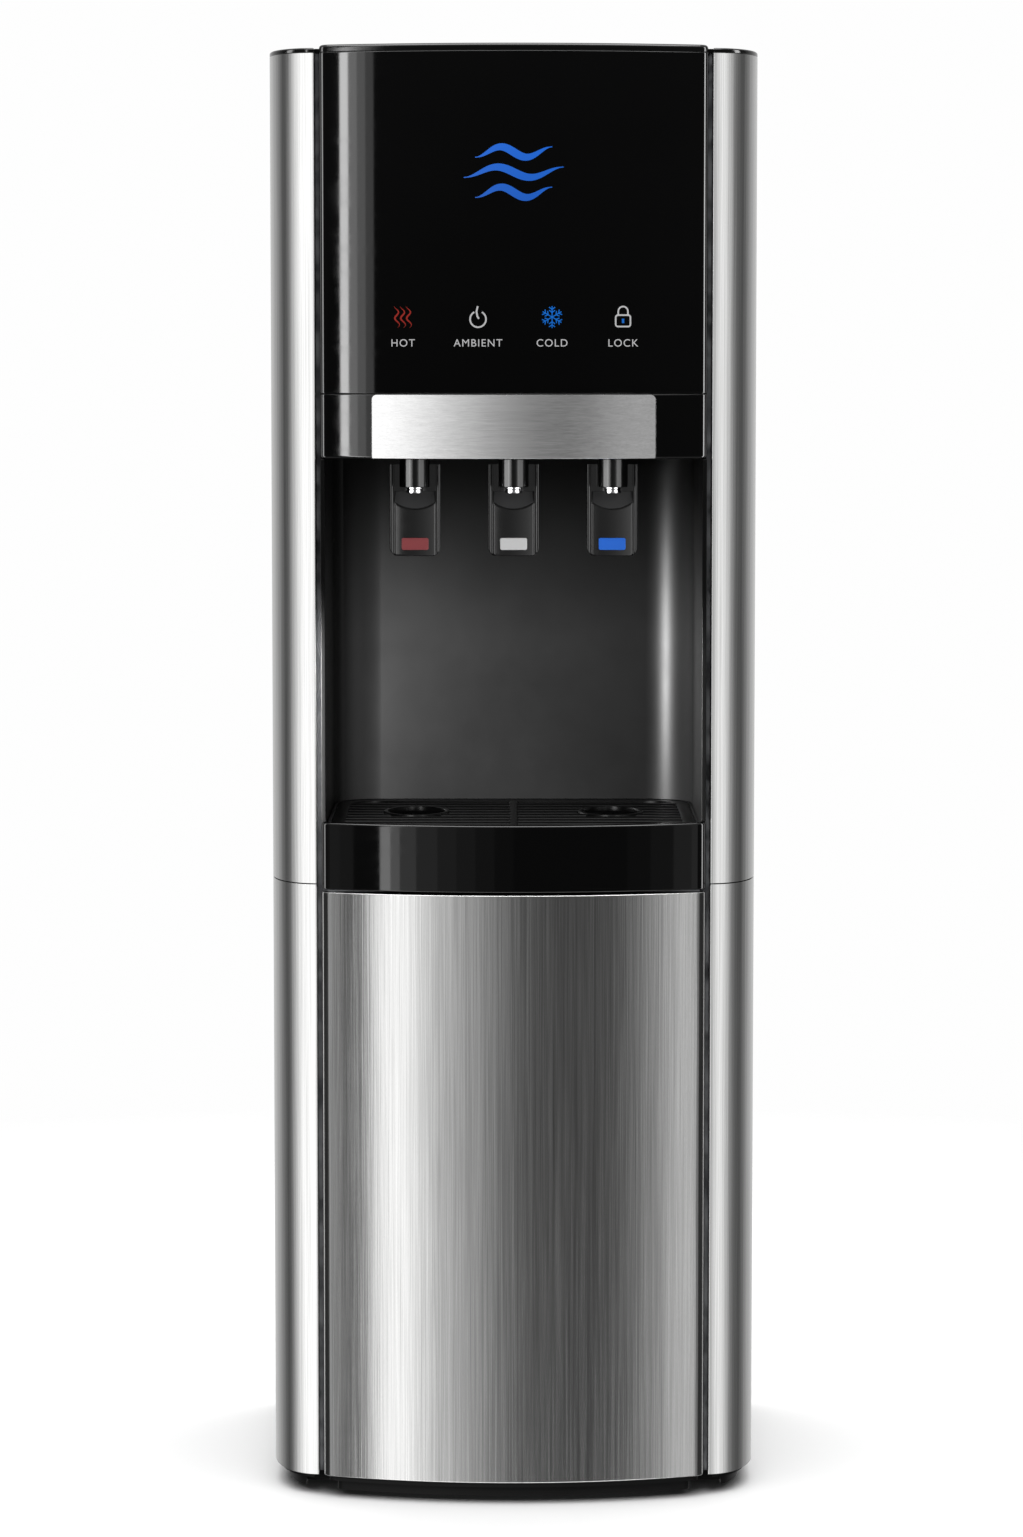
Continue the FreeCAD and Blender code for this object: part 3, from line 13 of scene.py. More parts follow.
import bmesh
import bpy
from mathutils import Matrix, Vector


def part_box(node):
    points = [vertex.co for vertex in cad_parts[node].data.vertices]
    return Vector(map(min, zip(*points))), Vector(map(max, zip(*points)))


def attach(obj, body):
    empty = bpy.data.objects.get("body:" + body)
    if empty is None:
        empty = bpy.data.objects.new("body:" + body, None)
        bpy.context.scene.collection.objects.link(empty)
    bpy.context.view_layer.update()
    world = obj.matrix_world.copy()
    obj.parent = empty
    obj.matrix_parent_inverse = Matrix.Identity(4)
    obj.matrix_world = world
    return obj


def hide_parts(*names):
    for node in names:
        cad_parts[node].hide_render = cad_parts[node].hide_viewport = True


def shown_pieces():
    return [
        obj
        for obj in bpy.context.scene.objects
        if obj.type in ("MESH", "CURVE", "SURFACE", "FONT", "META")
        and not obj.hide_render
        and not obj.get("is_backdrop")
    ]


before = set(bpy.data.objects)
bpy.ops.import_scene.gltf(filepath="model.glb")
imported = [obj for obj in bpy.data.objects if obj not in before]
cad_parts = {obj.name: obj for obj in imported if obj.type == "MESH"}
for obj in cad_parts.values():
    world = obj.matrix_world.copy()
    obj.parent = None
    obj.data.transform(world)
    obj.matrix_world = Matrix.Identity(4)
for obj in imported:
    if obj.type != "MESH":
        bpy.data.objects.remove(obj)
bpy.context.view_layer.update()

LOG = logging.getLogger("dispenser")
MM = 0.001
Point2 = tuple[float, float]
Point3 = tuple[float, float, float]
Colour = tuple[float, float, float]


class Grain(Enum):
    """The way a brushed sheet was drawn under the belt, as the pattern's scale along X, Y and Z."""

    UPRIGHT = (1.0, 1.0, 0.006)
    ACROSS = (0.006, 1.0, 1.0)


class Body(Enum):
    """The frame's rigid bodies."""

    CABINET = "cabinet"
    TRAY = "tray"
    GRILLE = "grille"
    DOOR = "door"


# ---------------------------------------------------------------- shader graphs


class Value:
    """A shader socket that takes Python's arithmetic, one Math node for each step."""

    def __init__(self, graph: "Graph", socket: bpy.types.NodeSocket) -> None:
        """Keeps the graph and its socket.

        Args:
            graph: The graph that new nodes go to.
            socket: The output socket that holds the number.
        """
        self.graph = graph
        self.socket = socket

    def _step(self, operation: str, first: Any, second: Any) -> "Value":
        """Adds one Math node.

        Args:
            operation: The node's operation.
            first: A number or a Value.
            second: A number or a Value.

        Returns:
            The node's result.
        """
        return self.graph.value("ShaderNodeMath", {"operation": operation}, {0: first, 1: second})

    def __add__(self, other: Any) -> "Value":
        """This plus other."""
        return self._step("ADD", self, other)

    def __radd__(self, other: Any) -> "Value":
        """Other plus this."""
        return self._step("ADD", other, self)

    def __sub__(self, other: Any) -> "Value":
        """This minus other."""
        return self._step("SUBTRACT", self, other)

    def __rsub__(self, other: Any) -> "Value":
        """Other minus this."""
        return self._step("SUBTRACT", other, self)

    def __mul__(self, other: Any) -> "Value":
        """This times other."""
        return self._step("MULTIPLY", self, other)

    def __rmul__(self, other: Any) -> "Value":
        """Other times this."""
        return self._step("MULTIPLY", other, self)

    def clamped(self, low: float, high: float) -> "Value":
        """This, turned to 0 below low and 1 above high, with a straight slope between."""
        return self.graph.value("ShaderNodeMapRange", {}, {0: self, 1: low, 2: high, 3: 0.0, 4: 1.0})


class Graph:
    """A node tree under construction."""

    def __init__(self, tree: bpy.types.NodeTree) -> None:
        """Keeps the tree that nodes are added to."""
        self.tree = tree

    def node(self, kind: str, settings: dict[str, Any], sockets: dict[Any, Any]) -> bpy.types.Node:
        """Adds a node.

        Args:
            kind: The node's type name.
            settings: Properties set first. "stops" holds a colour ramp's (place, colour) pairs.
            sockets: Input sockets by name or number, each with a value, a socket or a Value.

        Returns:
            The node.
        """
        made = self.tree.nodes.new(kind)
        for name, value in settings.items():
            if name == "stops":
                for index, (place, colour) in enumerate(value):
                    ramp = made.color_ramp.elements
                    stop = ramp[index] if index < len(ramp) else ramp.new(place)
                    stop.position = place
                    stop.color = (*colour, 1.0)
            else:
                setattr(made, name, value)
        for key, value in sockets.items():
            self.feed(made.inputs[key], value)
        return made

    def feed(self, socket: bpy.types.NodeSocket, value: Any) -> None:
        """Links a socket or a Value to an input, or sets its plain value.

        Args:
            socket: The input socket.
            value: What goes in.
        """
        source = value.socket if isinstance(value, Value) else value
        if isinstance(source, bpy.types.NodeSocket):
            self.tree.links.new(source, socket)
        else:
            socket.default_value = source

    def value(self, kind: str, settings: dict[str, Any], sockets: dict[Any, Any], output: Any = 0) -> Value:
        """Adds a node and wraps one output.

        Args:
            kind: The node's type name.
            settings: The node's properties.
            sockets: The node's inputs.
            output: The output's name or number.

        Returns:
            The wrapped output.
        """
        return Value(self, self.node(kind, settings, sockets).outputs[output])

    def place(self, scale: Sequence[float]) -> Value:
        """The piece's own position, scaled along each axis."""
        here = self.value("ShaderNodeTexCoord", {}, {}, "Object")
        return self.value("ShaderNodeMapping", {}, {"Vector": here, "Scale": tuple(scale)})

    def noise(self, where: Value, scale: float, detail: float = 3.0, rough: float = 0.5) -> Value:
        """Smooth noise from 0 to 1.

        Args:
            where: The position it follows.
            scale: Cells per metre.
            detail: Octaves.
            rough: Share that each finer octave keeps.

        Returns:
            The noise.
        """
        return self.value("ShaderNodeTexNoise", {},
                          {"Vector": where, "Scale": scale, "Detail": detail, "Roughness": rough})

    def blend(self, share: Any, first: Any, second: Any) -> Value:
        """Mixes two colours.

        Args:
            share: 0 gives the first colour and 1 the second.
            first: A colour or a Value.
            second: A colour or a Value.

        Returns:
            The mixed colour.
        """
        sockets = {0: share, 6: rgba(first), 7: rgba(second)}
        return self.value("ShaderNodeMix", {"data_type": "RGBA", "clamp_factor": True}, sockets, 2)

    def bump(self, height: Value, depth: float, strength: float = 1.0) -> Value:
        """A normal bent by a height.

        Args:
            height: The height from 0 to 1.
            depth: What a height of 1 stands for, in metres.
            strength: Share of the bend that is kept.

        Returns:
            The normal.
        """
        return self.value("ShaderNodeBump", {}, {"Height": height, "Distance": depth, "Strength": strength})


def rgba(colour: Any) -> Any:
    """A plain colour with its alpha, or the Value it already is."""
    return colour if isinstance(colour, Value) else (*colour, 1.0)


def shade(colour: Colour, share: float) -> Colour:
    """A colour made lighter or darker."""
    return tuple(min(1.0, channel * share) for channel in colour)


# ---------------------------------------------------------------- finishes


@dataclass(frozen=True)
class Finish:
    """A surface finish, which makes its material when first asked."""

    name: str
    colour: Colour
    roughness: float

    def material(self) -> bpy.types.Material:
        """This finish's material."""
        found = bpy.data.materials.get("finish_" + self.name)
        if found is not None:
            return found
        made = bpy.data.materials.new("finish_" + self.name)
        made.use_nodes = True
        graph = Graph(made.node_tree)
        self.dress(graph, made.node_tree.nodes["Principled BSDF"])
        return made

    def dress(self, graph: Graph, shader: bpy.types.Node) -> None:
        """Sets the shader's sockets.

        Args:
            graph: The material's graph.
            shader: Its Principled shader.
        """
        shader.inputs["Base Color"].default_value = rgba(self.colour)
        shader.inputs["Roughness"].default_value = self.roughness


@dataclass(frozen=True)
class BrushedSteel(Finish):
    """Stainless sheet with a drawn grain: hairlines, broader bands and a clear film over them."""

    grain: Grain = Grain.UPRIGHT
    stretch: float = 0.55
    contrast: float = 1.0

    def dress(self, graph: Graph, shader: bpy.types.Node) -> None:
        """Sets the shader's sockets.

        Args:
            graph: The material's graph.
            shader: Its Principled shader.
        """
        where = graph.place(self.grain.value)
        hairline = graph.noise(where, 1500.0, 2.0, 0.6)
        scratch = graph.noise(where, 420.0, 3.0, 0.6)
        band = graph.noise(where, 70.0, 2.0, 0.5)
        smudge = graph.noise(graph.place((1.0, 1.0, 1.0)), 9.0, 3.0, 0.55)
        streak = hairline * 0.5 + scratch * 0.4 + band * 0.1
        dark = shade(self.colour, 1.0 - 0.42 * self.contrast)
        light = shade(self.colour, 1.0 + 0.30 * self.contrast)
        graph.feed(shader.inputs["Base Color"], graph.blend(streak.clamped(0.3, 0.7), dark, light))
        polish = self.roughness + (streak - 0.5) * 0.22 + (smudge - 0.5) * 0.05
        graph.feed(shader.inputs["Roughness"], polish)
        graph.feed(shader.inputs["Normal"], graph.bump(scratch * 0.5 + hairline * 0.5, 0.00006, 0.6))
        shader.inputs["Metallic"].default_value = 1.0
        shader.inputs["Anisotropic"].default_value = self.stretch
        shader.inputs["Anisotropic Rotation"].default_value = 0.25


@dataclass(frozen=True)
class GlossPlastic(Finish):
    """Polished moulding: a slight moulding wave, and faint wipe marks that only the gloss shows."""

    wave: float = 0.00002
    specular: float = 0.5

    def dress(self, graph: Graph, shader: bpy.types.Node) -> None:
        """Sets the shader's sockets.

        Args:
            graph: The material's graph.
            shader: Its Principled shader.
        """
        where = graph.place((1.0, 1.0, 1.0))
        wipe = graph.noise(graph.place((1.0, 1.0, 3.0)), 26.0, 4.0, 0.6)
        cloud = graph.noise(where, 14.0, 2.0)
        graph.feed(shader.inputs["Base Color"],
                   graph.blend(cloud, shade(self.colour, 0.85), shade(self.colour, 1.15)))
        graph.feed(shader.inputs["Roughness"], self.roughness + wipe.clamped(0.45, 0.85) * 0.05)
        graph.feed(shader.inputs["Normal"], graph.bump(cloud, self.wave, 0.5))
        shader.inputs["Specular IOR Level"].default_value = self.specular


@dataclass(frozen=True)
class SatinPlastic(Finish):
    """Moulded plastic with a fine spark-eroded texture and rubbed high spots."""

    texture: float = 1800.0
    depth: float = 0.00003
    specular: float = 0.5

    def dress(self, graph: Graph, shader: bpy.types.Node) -> None:
        """Sets the shader's sockets.

        Args:
            graph: The material's graph.
            shader: Its Principled shader.
        """
        where = graph.place((1.0, 1.0, 1.0))
        pit = graph.noise(where, self.texture, 2.0, 0.6)
        rub = graph.noise(where, 18.0, 4.0, 0.6)
        graph.feed(shader.inputs["Base Color"],
                   graph.blend(rub, shade(self.colour, 0.8), shade(self.colour, 1.2)))
        graph.feed(shader.inputs["Roughness"], self.roughness + (rub - 0.5) * 0.12 + (pit - 0.5) * 0.08)
        graph.feed(shader.inputs["Normal"], graph.bump(pit, self.depth, 0.6))
        shader.inputs["Specular IOR Level"].default_value = self.specular


@dataclass(frozen=True)
class PaintedSteel(Finish):
    """Powder-coated sheet or tube, with orange peel and a few dusty patches."""

    peel: float = 700.0

    def dress(self, graph: Graph, shader: bpy.types.Node) -> None:
        """Sets the shader's sockets.

        Args:
            graph: The material's graph.
            shader: Its Principled shader.
        """
        where = graph.place((1.0, 1.0, 1.0))
        peel = graph.noise(where, self.peel, 1.0)
        dust = graph.noise(where, 11.0, 5.0, 0.65).clamped(0.45, 0.8)
        graph.feed(shader.inputs["Base Color"], graph.blend(dust * 0.35, self.colour, (0.16, 0.155, 0.15)))
        graph.feed(shader.inputs["Roughness"], self.roughness + dust * 0.15)
        graph.feed(shader.inputs["Normal"], graph.bump(peel, 0.00008, 0.5))


@dataclass(frozen=True)
class BareMetal(Finish):
    """Plated, drawn or turned metal, with a tarnish that settles in soft patches."""

    tarnish: Colour = (0.3, 0.28, 0.26)
    wear: float = 0.3

    def dress(self, graph: Graph, shader: bpy.types.Node) -> None:
        """Sets the shader's sockets.

        Args:
            graph: The material's graph.
            shader: Its Principled shader.
        """
        where = graph.place((1.0, 1.0, 1.0))
        patch = graph.noise(where, 60.0, 4.0, 0.6).clamped(0.4, 0.75)
        fine = graph.noise(where, 900.0, 2.0)
        graph.feed(shader.inputs["Base Color"], graph.blend(patch * self.wear, self.colour, self.tarnish))
        graph.feed(shader.inputs["Roughness"], self.roughness + patch * self.wear * 0.4 + (fine - 0.5) * 0.04)
        graph.feed(shader.inputs["Normal"], graph.bump(fine, 0.00001, 0.4))
        shader.inputs["Metallic"].default_value = 1.0


@dataclass(frozen=True)
class BeadFoam(Finish):
    """Moulded bead foam: rounded cells with darker joints."""

    def dress(self, graph: Graph, shader: bpy.types.Node) -> None:
        """Sets the shader's sockets.

        Args:
            graph: The material's graph.
            shader: Its Principled shader.
        """
        where = graph.place((1.0, 1.0, 1.0))
        cell = graph.value("ShaderNodeTexVoronoi", {"feature": "DISTANCE_TO_EDGE"},
                           {"Vector": where, "Scale": 260.0}).clamped(0.0, 0.12)
        graph.feed(shader.inputs["Base Color"], graph.blend(cell, shade(self.colour, 0.8), self.colour))
        graph.feed(shader.inputs["Roughness"], self.roughness + cell * 0.05)
        graph.feed(shader.inputs["Normal"], graph.bump(cell, 0.0003, 0.7))


@dataclass(frozen=True)
class CircuitBoard(Finish):
    """Solder mask over copper tracks."""

    def dress(self, graph: Graph, shader: bpy.types.Node) -> None:
        """Sets the shader's sockets.

        Args:
            graph: The material's graph.
            shader: Its Principled shader.
        """
        track = graph.value("ShaderNodeTexBrick", {"offset": 0.5},
                            {"Vector": graph.place((1.0, 1.0, 1.0)), "Scale": 90.0, "Mortar Size": 0.06},
                            "Fac")
        mottle = graph.noise(graph.place((1.0, 1.0, 1.0)), 120.0, 3.0)
        mask = graph.blend(track, self.colour, shade(self.colour, 1.8))
        graph.feed(shader.inputs["Base Color"], graph.blend(mottle * 0.3, mask, shade(self.colour, 0.6)))
        graph.feed(shader.inputs["Roughness"], self.roughness + mottle * 0.1)
        graph.feed(shader.inputs["Normal"], graph.bump(track, 0.00003, 0.6))


@dataclass(frozen=True)
class LitPrint(Finish):
    """Translucent ink over a small lamp, with a soft fall-off towards one end."""

    glow: float = 0.25
    ends: tuple[float, float] = (0.8, 1.0)

    def dress(self, graph: Graph, shader: bpy.types.Node) -> None:
        """Sets the shader's sockets.

        Args:
            graph: The material's graph.
            shader: Its Principled shader.
        """
        low, high = self.ends
        height = graph.value("ShaderNodeSeparateXYZ", {}, {0: graph.place((1.0, 1.0, 1.0))}, 2)
        ink = graph.blend(height.clamped(low, high), shade(self.colour, 0.55), self.colour)
        graph.feed(shader.inputs["Base Color"], ink)
        graph.feed(shader.inputs["Emission Color"], ink)
        graph.feed(shader.inputs["Roughness"],
                   self.roughness + graph.noise(graph.place((1.0, 1.0, 1.0)), 300.0) * 0.05)
        shader.inputs["Emission Strength"].default_value = self.glow


WING_STEEL = BrushedSteel("wing_steel", (0.66, 0.66, 0.655), 0.19, contrast=0.55)
DOOR_STEEL = BrushedSteel("door_steel", (0.64, 0.64, 0.635), 0.18, contrast=0.75)
TRIM_STEEL = BrushedSteel("trim_steel", (0.74, 0.74, 0.74), 0.22, grain=Grain.ACROSS, contrast=0.35)
FRONT_GLOSS = GlossPlastic("front_gloss", (0.0030, 0.0030, 0.0031), 0.035)
LID_GLOSS = GlossPlastic("lid_gloss", (0.005, 0.005, 0.005), 0.12)
TAP_GLOSS = GlossPlastic("tap_gloss", (0.006, 0.006, 0.006), 0.16, wave=0.00001)
LINER_SATIN = SatinPlastic("liner_satin", (0.018, 0.018, 0.018), 0.38)
GRILLE_SATIN = SatinPlastic("grille_satin", (0.010, 0.010, 0.010), 0.32)
SCOOP_MATT = SatinPlastic("scoop_matt", (0.022, 0.022, 0.023), 0.5)
BASE_GRAIN = SatinPlastic("base_grain", (0.010, 0.010, 0.010), 0.5, texture=1100.0, depth=0.00008)
DARK_SATIN = SatinPlastic("dark_satin", (0.025, 0.025, 0.027), 0.4)
RUBBER = SatinPlastic("rubber", (0.016, 0.016, 0.016), 0.75, texture=900.0, depth=0.00006, specular=0.3)
WHITE_SATIN = SatinPlastic("white_satin", (0.74, 0.75, 0.76), 0.38, texture=1400.0)
SILICONE = SatinPlastic("silicone", (0.62, 0.65, 0.66), 0.3, texture=600.0)
RED_INSERT = GlossPlastic("red_insert", (0.30, 0.052, 0.058), 0.28, wave=0.00001)
WHITE_INSERT = GlossPlastic("white_insert", (0.72, 0.72, 0.72), 0.28, wave=0.00001)
BLUE_INSERT = GlossPlastic("blue_insert", (0.008, 0.17, 0.85), 0.28, wave=0.00001)
RED_ROCKER = GlossPlastic("red_rocker", (0.42, 0.012, 0.012), 0.22)
GREEN_ROCKER = GlossPlastic("green_rocker", (0.015, 0.26, 0.06), 0.22)
BLACK_PAINT = PaintedSteel("black_paint", (0.012, 0.012, 0.013), 0.38)
PANEL_PAINT = PaintedSteel("panel_paint", (0.035, 0.035, 0.037), 0.45)
GALVANISED = BareMetal("galvanised", (0.52, 0.53, 0.55), 0.35, tarnish=(0.30, 0.31, 0.33), wear=0.8)
ZINC = BareMetal("zinc", (0.62, 0.62, 0.64), 0.24)
CHROME = BareMetal("chrome", (0.82, 0.82, 0.83), 0.06, tarnish=(0.6, 0.6, 0.6), wear=0.15)
TANK_STEEL = BareMetal("tank_steel", (0.60, 0.60, 0.60), 0.3)
COPPER = BareMetal("copper", (0.74, 0.36, 0.22), 0.26, tarnish=(0.25, 0.10, 0.06), wear=0.5)
BRASS = BareMetal("brass", (0.70, 0.50, 0.22), 0.24, tarnish=(0.34, 0.22, 0.10), wear=0.4)
FOAM = BeadFoam("bead_foam", (0.78, 0.78, 0.75), 0.8)
BOARD = CircuitBoard("circuit_board", (0.012, 0.10, 0.045), 0.35)
WHITE_PRINT = LitPrint("white_print", (0.85, 0.85, 0.86), 0.4, glow=0.35, ends=(0.70, 0.80))
RED_PRINT = LitPrint("red_print", (0.62, 0.045, 0.030), 0.4, glow=0.35, ends=(0.835, 0.87))
BLUE_PRINT = LitPrint("blue_print", (0.010, 0.20, 0.80), 0.4, glow=0.55, ends=(0.825, 0.86))
MARK_PRINT = LitPrint("mark_print", (0.006, 0.13, 0.66), 0.4, glow=0.55, ends=(0.90, 0.985))

CARRIED_OVER: dict[Finish, tuple[str, ...]] = {
    BASE_GRAIN: ("base_pan", "power_inlet", "switch_housings"),
    RUBBER: ("feet", "compressor_grommets"),
    PANEL_PAINT: ("rear_panel",),
    GALVANISED: ("frame_post_left", "frame_post_right", "middle_shelf"),
    BLACK_PAINT: ("compressor", "condenser_coil", "condenser_brackets"),
    DARK_SATIN: ("door_liner", "door_magnet", "microswitches", "drain_pipe", "drain_cap", "tap_bracket"),
    ZINC: ("door_pins", "paddle_pins", "paddle_springs"),
    TANK_STEEL: ("cold_tank", "hot_tank"),
    COPPER: ("evaporator_coil", "refrigerant_lines"),
    BRASS: ("water_inlet_fitting",),
    WHITE_SATIN: ("filter_manifold", "filter_sediment", "filter_carbon", "filter_mineral", "solenoid_valves"),
    SILICONE: ("water_hoses",),
    FOAM: ("tank_insulation",),
    BOARD: ("touch_board", "control_board"),
    RED_ROCKER: ("rocker_hot",),
    GREEN_ROCKER: ("rocker_cold",),
}


# ---------------------------------------------------------------- mesh tools


def arc(centre: Point2, radius: Point2, start: float, end: float, steps: int) -> list[Point2]:
    """Points along an arc of a circle or an ellipse.

    Args:
        centre: Its middle.
        radius: Half its width and half its height.
        start: First angle, in degrees.
        end: Last angle, in degrees.
        steps: Number of spans.

    Returns:
        The points, both ends included.
    """
    angles = [math.radians(start + (end - start) * i / steps) for i in range(steps + 1)]
    return [(centre[0] + radius[0] * math.cos(a), centre[1] + radius[1] * math.sin(a)) for a in angles]


def mirrored(points: Sequence[Point2]) -> list[Point2]:
    """The points on the other side of the middle, in the opposite order."""
    return [(-x, y) for x, y in reversed(points)]


def new_piece(name: str, mesh: bpy.types.Mesh) -> bpy.types.Object:
    """A new object in the scene that holds a mesh."""
    made = bpy.data.objects.new(name, mesh)
    bpy.context.scene.collection.objects.link(made)
    return made


def mesh_of(name: str, bm: bmesh.types.BMesh, smooth: float = 35.0) -> bpy.types.Object:
    """Turns a bmesh into a piece.

    Args:
        name: The piece's name.
        bm: The bmesh, which is freed.
        smooth: Angle in degrees above which an edge stays sharp.

    Returns:
        The piece.
    """
    bmesh.ops.recalc_face_normals(bm, faces=bm.faces)
    mesh = bpy.data.meshes.new(name)
    bm.to_mesh(mesh)
    bm.free()
    mesh.polygons.foreach_set("use_smooth", [True] * len(mesh.polygons))
    mesh.set_sharp_from_angle(angle=math.radians(smooth))
    return new_piece(name, mesh)


def bake(piece: bpy.types.Object) -> bpy.types.Object:
    """Puts the result of a piece's modifiers in its own mesh and takes them off."""
    graph = bpy.context.evaluated_depsgraph_get()
    mesh = bpy.data.meshes.new_from_object(piece.evaluated_get(graph))
    piece.modifiers.clear()
    piece.data = mesh
    return piece


def even_shading(piece: bpy.types.Object) -> bpy.types.Object:
    """Keeps flat faces flat beside small rounded edges."""
    weigh = piece.modifiers.new("even_shading", "WEIGHTED_NORMAL")
    weigh.keep_sharp = True
    weigh.weight = 60
    return bake(piece)


def joined(name: str, pieces: Sequence[bpy.types.Object]) -> bpy.types.Object:
    """Joins pieces into one, materials kept.

    Args:
        name: The new piece's name.
        pieces: The pieces, which are used up.

    Returns:
        The joined piece.
    """
    with bpy.context.temp_override(active_object=pieces[0], object=pieces[0],
                                   selected_objects=pieces, selected_editable_objects=pieces):
        bpy.ops.object.join()
    pieces[0].name = name
    pieces[0].data.name = name
    return pieces[0]


def wrapped(name: str, rings: Sequence[Sequence[Point3]], closed: bool,
            capped: bool = True) -> bpy.types.Object:
    """Skins rings of equal length with quads.

    Args:
        name: The piece's name.
        rings: Rings of points, one after another.
        closed: True if each ring closes on itself. If not, the last ring joins the first instead, and the
            rings' ends are closed with one face each.
        capped: With closed rings, closes the first and the last ring with a face.

    Returns:
        The piece.
    """
    bm = bmesh.new()
    grid = [[bm.verts.new(p) for p in ring] for ring in rings]
    count = len(grid[0])
    wrap_rings = 0 if closed else len(grid)
    for i in range(len(grid) - 1 if closed else wrap_rings):
        first, second = grid[i], grid[(i + 1) % len(grid)]
        for j in range(count if closed else count - 1):
            k = (j + 1) % count
            bm.faces.new((first[j], first[k], second[k], second[j]))
    if closed and capped:
        bm.faces.new(grid[0])
        bm.faces.new(grid[-1])
    if not closed:
        bm.faces.new([ring[0] for ring in grid])
        bm.faces.new([ring[-1] for ring in grid])
    return mesh_of(name, bm)


def turned(name: str, centre: Point2, outline: Sequence[Point2], steps: int = 48,
           hollow: bool = True) -> bpy.types.Object:
    """Turns an outline of (radius, height) points about an upright axis.

    Args:
        name: The piece's name.
        centre: The axis's place, as x and y.
        outline: The outline, closed on itself when hollow.
        steps: Number of flats round the axis.
        hollow: False if both ends of the outline are to be capped at the axis.

    Returns:
        The piece.
    """
    rings = [[(centre[0] + r * math.cos(2 * math.pi * i / steps),
               centre[1] + r * math.sin(2 * math.pi * i / steps), z)
              for i in range(steps)] for r, z in outline]
    if hollow:
        rings.append(rings[0])
    piece = wrapped(name, rings, closed=True, capped=not hollow)
    merge(piece)
    return piece


def merge(piece: bpy.types.Object, distance: float = 1e-6) -> None:
    """Merges points that lie in one place, and turns faces outwards.

    Args:
        piece: The piece.
        distance: How far apart two such points may be.
    """
    bm = bmesh.new()
    bm.from_mesh(piece.data)
    bmesh.ops.remove_doubles(bm, verts=bm.verts, dist=distance)
    bmesh.ops.recalc_face_normals(bm, faces=bm.faces)
    bm.to_mesh(piece.data)
    bm.free()
    piece.data.set_sharp_from_angle(angle=math.radians(35.0))


def softened(name: str, node: str, radius: float, steps: int = 2, angle: float = 40.0) -> bpy.types.Object:
    """A copy of a frame node with its loose triangles merged and its edges rounded.

    Args:
        name: The piece's name.
        node: The frame node.
        radius: The edges' rounding.
        steps: Spans across each rounding.
        angle: Smallest angle of an edge that is rounded, in degrees.

    Returns:
        The piece.
    """
    bm = bmesh.new()
    bm.from_mesh(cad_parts[node].data)
    bmesh.ops.remove_doubles(bm, verts=bm.verts, dist=0.02 * MM)
    bmesh.ops.dissolve_limit(bm, angle_limit=math.radians(0.5), verts=bm.verts, edges=bm.edges)
    mesh = bpy.data.meshes.new(name)
    bm.to_mesh(mesh)
    bm.free()
    if "custom_normal" in mesh.attributes:
        mesh.attributes.remove(mesh.attributes["custom_normal"])
    mesh.materials.clear()
    mesh.polygons.foreach_set("use_smooth", [True] * len(mesh.polygons))
    piece = new_piece(name, mesh)
    edge = piece.modifiers.new("rounded_edges", "BEVEL")
    edge.width = radius
    edge.segments = steps
    edge.limit_method = "ANGLE"
    edge.angle_limit = math.radians(angle)
    edge.use_clamp_overlap = False
    return even_shading(piece)


def shown(piece: bpy.types.Object, finish: Finish, body: str,
          nodes: Iterable[str] = ()) -> bpy.types.Object:
    """Gives a finished piece its finish and its body, and hides the frame nodes it stands in for.

    Args:
        piece: The piece.
        finish: Its finish, unless it already has materials.
        body: The body it rides on.
        nodes: Frame nodes that it replaces.

    Returns:
        The piece.
    """
    if not piece.data.materials:
        piece.data.materials.append(finish.material())
    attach(piece, body)
    if nodes:
        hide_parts(*nodes)
    LOG.info("%s: %d faces on %s", piece.name, len(piece.data.polygons), body)
    return piece


# ---------------------------------------------------------------- geometry nodes


